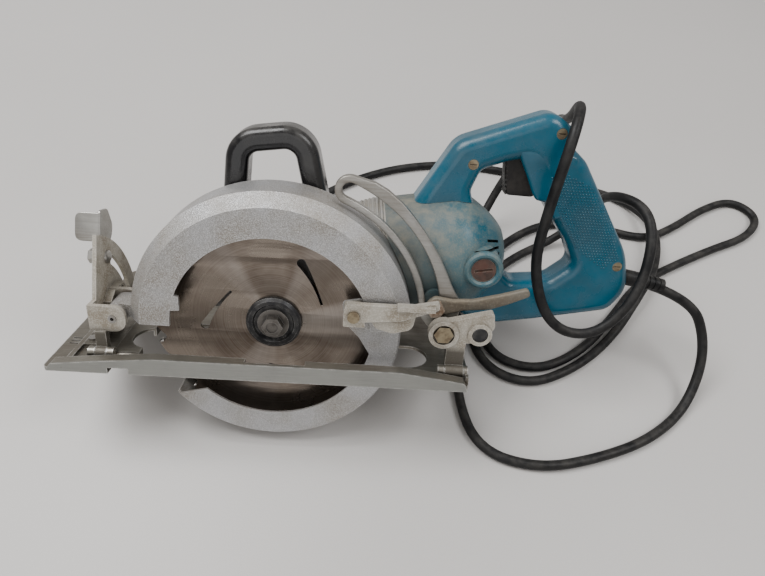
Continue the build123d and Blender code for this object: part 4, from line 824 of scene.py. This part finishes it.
def skinOf(node):
    skin = nodes[node].data
    return BVHTree.FromPolygons([v.co for v in skin.vertices], [tuple(p.vertices) for p in skin.polygons])


def insideRegion(x, z, rim):
    inside = False
    for (ax, az), (bx, bz) in zip(rim, rim[1:] + rim[:1]):
        if (az > z) != (bz > z) and x < (bx - ax) * (z - az) / (bz - az) + ax:
            inside = not inside
    return inside


def studSpots(node, side, spec):
    # where a row of points pressed against the grip's side comes to rest, with the skin's direction there
    skin = skinOf(node)
    toward = (setDown.to_3x3() @ Vector((0, side, 0))).normalized()
    left, low = spec["corner"]
    spots, ways = [], []
    for i in range(spec["rows"]):
        for k in range(spec["rows"]):
            x = left + spec["pitch"] * (i + 0.5 * (k % 2))
            z = low + spec["pitch"] * k
            if not insideRegion(x, z, spec["region"]):
                continue
            start = setDown @ Vector((x, spec["middle"] - spec["standOff"] * side, z))
            hit, way = skin.ray_cast(start, toward, spec["far"])[:2]
            if hit is not None and way.dot(toward) < spec["facing"]:
                spots.append(setDown.inverted() @ hit)
                ways.append((setDown.inverted().to_3x3() @ way).normalized())
    return spots, ways


def makeStuds(node, side, spec):
    sizes = spec["sizes"]
    tree, start, out, keys = startTree("gripStuds_" + node, sizes, ground=True)
    way = geoNode(tree, "InputNamedAttribute", {"Name": "way"}, data_type="FLOAT_VECTOR")
    turn = joinNode(tree, "FunctionNodeAlignRotationToVector", {"Vector": way.outputs["Attribute"]}, axis="Z")
    cone = geoNode(tree, "MeshCone", {"Vertices": 4, "Radius Bottom": start.outputs["Foot"],
            "Radius Top": spec["top"], "Depth": start.outputs["Height"]})
    placed = geoNode(tree, "InstanceOnPoints", {"Points": start.outputs["Ground"],
            "Instance": cone.outputs["Mesh"], "Rotation": turn.outputs[0]})
    endTree(tree, out, placed.outputs[0], "tealPlastic")
    spots, ways = studSpots(node, side, spec)
    mesh = bpy.data.meshes.new("spots")
    mesh.from_pydata([tuple(s - w * spec["sink"]) for s, w in zip(spots, ways)], [], [])
    mesh.attributes.new("way", "FLOAT_VECTOR", "POINT").data.foreach_set("vector", [c for w in ways for c in w])
    addPiece("gripStuds_" + node, runTree(tree, keys, sizes, mesh), "saw_body", "tealPlastic", None, 0)
    print("studs", node, len(spots))


makeStuds("handle_left", 1, studSet)
makeStuds("handle_right", -1, studSet)

# low round head in place of the hexagon on the bevel slot
bevelBoltSet = {"centre": (20.54, 36.1), "front": -141.3, "back": -128.2, "head": 5.2, "shank": 3.0}


def lathe(profile, steps=40):
    # spins station and radius pairs about the X axis into a closed skin
    mesh = bpy.data.meshes.new("lathe")
    work = bmesh.new()
    rings = []
    for station, reach in profile:
        if reach <= 0:
            rings.append([work.verts.new((station, 0, 0))])
        else:
            rings.append([work.verts.new((station, reach * math.cos(2 * math.pi * k / steps), reach
                    * math.sin(2 * math.pi * k / steps))) for k in range(steps)])
    for first, second in zip(rings, rings[1:]):
        for k in range(steps):
            n = (k + 1) % steps
            corners = []
            corners += [first[0]] if len(first) == 1 else [first[n], first[k]]
            corners += [second[0]] if len(second) == 1 else [second[k], second[n]]
            work.faces.new(corners)
    closeWork(work, mesh)
    return mesh


def makeBevelBolt(spec):
    f, b, h, s = spec["front"], spec["back"], spec["head"], spec["shank"]
    profile = ((f, 0), (f, s), (b - 2.4, s), (b - 2.4, h), (b - 1.2, h - 0.3), (b - 0.4, h - 1.6), (b, 0))
    place = Matrix.Translation((0, *spec["centre"]))
    addPiece("bevelBolt", lathe(profile), "base", "steel", place, replaced=("bevel_bolt",))


makeBevelBolt(bevelBoltSet)

# pressed bevel lever, its thumb tab rounded at the free corners
bevelLeverSet = {
    "bolt": (20.54, 36.1), "bore": 3.2, "front": -139.4, "thick": 2.2, "rounding": 0.5,
    # corners of the arm from the bolt, with their radii
    "arm": ((-5, -9, 7), (-7, 2, 6), (6.5, 10.9, 6), (13.5, 31.9, 3), (26.5, 29.9, 5), (31.5, 15.9, 8),
            (29.5, 7.9, 14), (9, -8, 8)),
    "tab": {"along": (7.2, 21.0), "foot": (5.7, 9.5), "reach": 17.0, "sunk": 1.2, "size": 22.2, "corner": 6.0,
            "root": 0.8, "rounding": 0.7},
}


def makeBevelLever(spec):
    by, bz = spec["bolt"]
    hole = arcRim(spec["bore"], 360, 0, 20, by, bz)[:-1]
    upright = Matrix(((0, 0, 1, 0), (1, 0, 0, 0), (0, 1, 0, 0), (0, 0, 0, 1)))  # X and Y stood in Y and Z
    arm = cutPlate([roundedRim([(by + a, bz + b, c) for a, b, c in spec["arm"]]), hole], spec["thick"],
                   spec["rounding"])
    addPiece("bevelArm", arm, "bevel_lever", "platedSteel",
             Matrix.Translation((spec["front"] + spec["thick"] / 2, 0, 0)) @ upright, replaced=("bevel_lever",))
    tab = spec["tab"]
    along = Vector((0, *tab["along"])).normalized()
    out = Vector((0, along.z, -along.y))
    size, wide, corner, root = tab["size"], tab["reach"] + tab["sunk"], tab["corner"], tab["root"]
    rim = ((0, 0, corner), (0, size, corner), (wide, size, root), (wide, 0, root))
    turn = Matrix(((1, 0, 0), (0, along.y, out.y), (0, along.z, out.z))).to_4x4()
    footY, footZ = tab["foot"]
    foot = Vector((spec["front"] - tab["reach"], by + footY, bz + footZ)) + out * spec["thick"] / 2
    addPiece("bevelTab", cutPlate([roundedRim(rim)], spec["thick"], tab["rounding"]), "bevel_lever",
             "platedSteel", Matrix.Translation(foot) @ turn)


makeBevelLever(bevelLeverSet)

# worn dark face set into the second boss of the rear bracket
bossSet = {"centre": (155.5, 7.5), "y": (-19.2, -17.45), "reach": 5.9}


def makeBossFace(spec):
    low, high = spec["y"]
    profile = ((low, 0), (low, spec["reach"] - 0.6), (low + 0.5, spec["reach"]), (high, spec["reach"]),
               (high, 0))
    x, z = spec["centre"]
    place = Matrix.Translation((x, 0, z)) @ Matrix.Rotation(math.radians(90), 4, "Z")
    addPiece("bossFace", lathe(profile), "depth_frame", "darkSteel", place)


makeBossFace(bossSet)

# rim of each brush opening
rimSet = {"reach": (15.3, 9.9), "height": 1.6, "station": 163.0, "side": 49.0}
motorSet = {"y": 58.0, "tilt": 10.0, "rise": 20.0}
toMotor = (Matrix.Translation((0, motorSet["y"], 0)) @ Matrix.Rotation(math.radians(-motorSet["tilt"]), 4, "Y")
           @ Matrix.Translation((0, 0, motorSet["rise"])))


def makeBrushRims(spec):
    outer, inner = spec["reach"]
    for side, turn in (("left", -90), ("right", 90)):
        profile = ((-3.0, inner), (-3.0, outer - 0.4), (0.2, outer - 0.4), (spec["height"], outer - 2.2),
                   (spec["height"], inner + 1.6), (0.2, inner), (-3.0, inner))
        place = (toMotor @ Matrix.Translation((spec["station"], math.copysign(spec["side"], turn), 0))
                 @ Matrix.Rotation(math.radians(turn), 4, "Z"))
        addPiece("brushRim_" + side, lathe(profile), "saw_body", "motorPlastic", place)


makeBrushRims(rimSet)

# the slits' forward ends are closed, which leaves the short openings at the rear
fillSet = {
    "sizes": {"Count": 6, "FirstAngle": 62.0, "Step": 11.0}, "stations": [156.6 + 1.4 * i for i in range(10)],
    "between": 67.5, "above": 90, "far": 0.1, "sunk": 0.12, "half": 1.2, "deep": 1.5,
}


def makeSlitFills(spec, side):
    # each strip follows the motor's skin, found from above between two slits
    skin = skinOf("motor_housing")
    place = setDown @ toMotor @ Matrix.Rotation(math.radians(spec["between"]), 4, "X")
    inward = (place.to_3x3() @ Vector((0, 0, -1))).normalized()
    mesh = bpy.data.meshes.new("strip")
    work = bmesh.new()
    half = spec["half"]
    rows = []
    for station in spec["stations"]:
        hit = skin.ray_cast(place @ Vector((station, 0, spec["above"])), inward, spec["far"])[0]
        reach = (place.inverted() @ hit).z - spec["sunk"]
        low = reach - spec["deep"]
        rows.append([work.verts.new((station, y, z)) for y,
                     z in ((-half, reach), (half, reach), (half, low), (-half, low))])
    for first, second in zip(rows, rows[1:]):
        for k in range(4):
            n = (k + 1) % 4
            work.faces.new((first[k], first[n], second[n], second[k]))
    work.faces.new(rows[0])
    work.faces.new(rows[-1][::-1])
    closeWork(work, mesh)
    name = "slitFills_" + ("left" if side > 0 else "right")
    tree, start, out, keys = startTree(name, spec["sizes"], ground=True)
    row = geoNode(tree, "MeshLine", {"Count": start.outputs["Count"], "Offset": (0, 0, 0)})
    index = geoNode(tree, "InputIndex")
    swing = addNode(tree, "Math", {0: index.outputs[0], 1: start.outputs["Step"],
            2: start.outputs["FirstAngle"]}, operation="MULTIPLY_ADD")
    turned = addNode(tree, "Math", {0: swing.outputs[0], 1: math.radians(side)}, operation="MULTIPLY")
    angles = addNode(tree, "CombineXYZ", {"X": turned.outputs[0]})
    placed = geoNode(tree, "InstanceOnPoints", {"Points": row.outputs[0], "Instance": start.outputs["Ground"],
            "Rotation": angles.outputs[0]})
    endTree(tree, out, placed.outputs[0], "motorPlastic")
    addPiece(name, runTree(tree, keys, spec["sizes"], mesh), "saw_body", "motorPlastic", toMotor)


makeSlitFills(fillSet, 1)
makeSlitFills(fillSet, -1)

# cooling ribs over the bell of the gear case
caseRibSet = {"Count": 9, "FirstStation": 64.0, "Pitch": 3.3, "Thick": 2.2, "FirstReach": 45.6,
              "LastReach": 49.6, "From": -52.0, "To": 98.0}


def makeCaseRibs(sizes):
    tree, start, out, keys = startTree("caseRibs", sizes)
    offset = addNode(tree, "CombineXYZ", {"X": start.outputs["Pitch"]})
    first = addNode(tree, "CombineXYZ", {"X": start.outputs["FirstStation"]})
    row = geoNode(tree, "MeshLine", {"Count": start.outputs["Count"], "Start Location": first.outputs[0],
            "Offset": offset.outputs[0]})
    index = geoNode(tree, "InputIndex")
    reach = addNode(tree, "MapRange", {"Value": index.outputs[0], "From Min": 0.0,
            "From Max": float(sizes["Count"] - 1), "To Min": start.outputs["FirstReach"],
            "To Max": start.outputs["LastReach"]})
    arc = geoNode(tree, "CurveArc", {"Resolution": 28, "Radius": 1.0}, mode="RADIUS")
    tree.links.new(addNode(tree, "Math", {0: start.outputs["From"]}, operation="RADIANS").outputs[0],
                   arc.inputs["Start Angle"])
    tree.links.new(addNode(tree, "Math", {0: start.outputs["To"]}, operation="RADIANS").outputs[0],
                   arc.inputs["Sweep Angle"])
    placed = geoNode(tree, "InstanceOnPoints", {"Points": row.outputs[0], "Instance": arc.outputs[0],
            "Scale": reach.outputs[0]})
    turned = geoNode(tree, "RotateInstances", {"Instances": placed.outputs[0],
            "Rotation": (0, math.radians(-90), 0)})
    lines = geoNode(tree, "RealizeInstances", {"Geometry": turned.outputs[0]})
    half = addNode(tree, "Math", {0: start.outputs["Thick"], 1: 0.5}, operation="MULTIPLY")
    profile = geoNode(tree, "CurvePrimitiveCircle", {"Resolution": 8, "Radius": half.outputs[0]})
    swept = geoNode(tree, "CurveToMesh", {"Curve": lines.outputs[0], "Profile Curve": profile.outputs[0],
            "Fill Caps": True})
    endTree(tree, out, swept.outputs[0], "gearCaseAlloy")
    addPiece("caseRibs", runTree(tree, keys, sizes), "saw_body", "gearCaseAlloy", toMotor)


makeCaseRibs(caseRibSet)
print("rims and ribs made")


# floor
floorSet = {"half": 6.0, "shade": (0.57, 0.553, 0.535), "speckShade": (0.49, 0.475, 0.46), "rough": 0.42}


def makeFloor(spec):
    half = spec["half"]
    mesh = bpy.data.meshes.new("floor")
    mesh.from_pydata([(-half, -half, 0), (half, -half, 0), (half, half, 0), (-half, half, 0)], [],
                     [(0, 1, 2, 3)])
    floor = addObject("floor", mesh)
    made = bpy.data.materials.new("tableTop")
    made.use_nodes = True
    tree = made.node_tree
    shader = tree.nodes["Principled BSDF"]
    place = addNode(tree, "TexCoord").outputs["Object"]
    specks = span(tree, noise(tree, place, 900, 2), 0.55, 0.7, 0, 0.35)
    broad = span(tree, noise(tree, place, 2.2, 3), 0.3, 0.7, 0, 0.35)
    shade = blendColour(tree, specks, colour(spec["shade"]), colour(spec["speckShade"]))
    shade = blendColour(tree, broad, shade, colour(spec["speckShade"]))
    tree.links.new(shade, shader.inputs["Base Color"])
    shader.inputs["Roughness"].default_value = spec["rough"]
    tree.links.new(addNode(tree, "Bump", {"Height": noise(tree, place, 700, 2),
            "Distance": 0.00008}).outputs[0], shader.inputs["Normal"])
    mesh.materials.append(made)


makeFloor(floorSet)
print("floor laid")


mainsCord.data.materials.append(surfaces["rubber"])
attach(mainsCord, "saw_body")
if "power_cord" in nodes:
    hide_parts("power_cord")
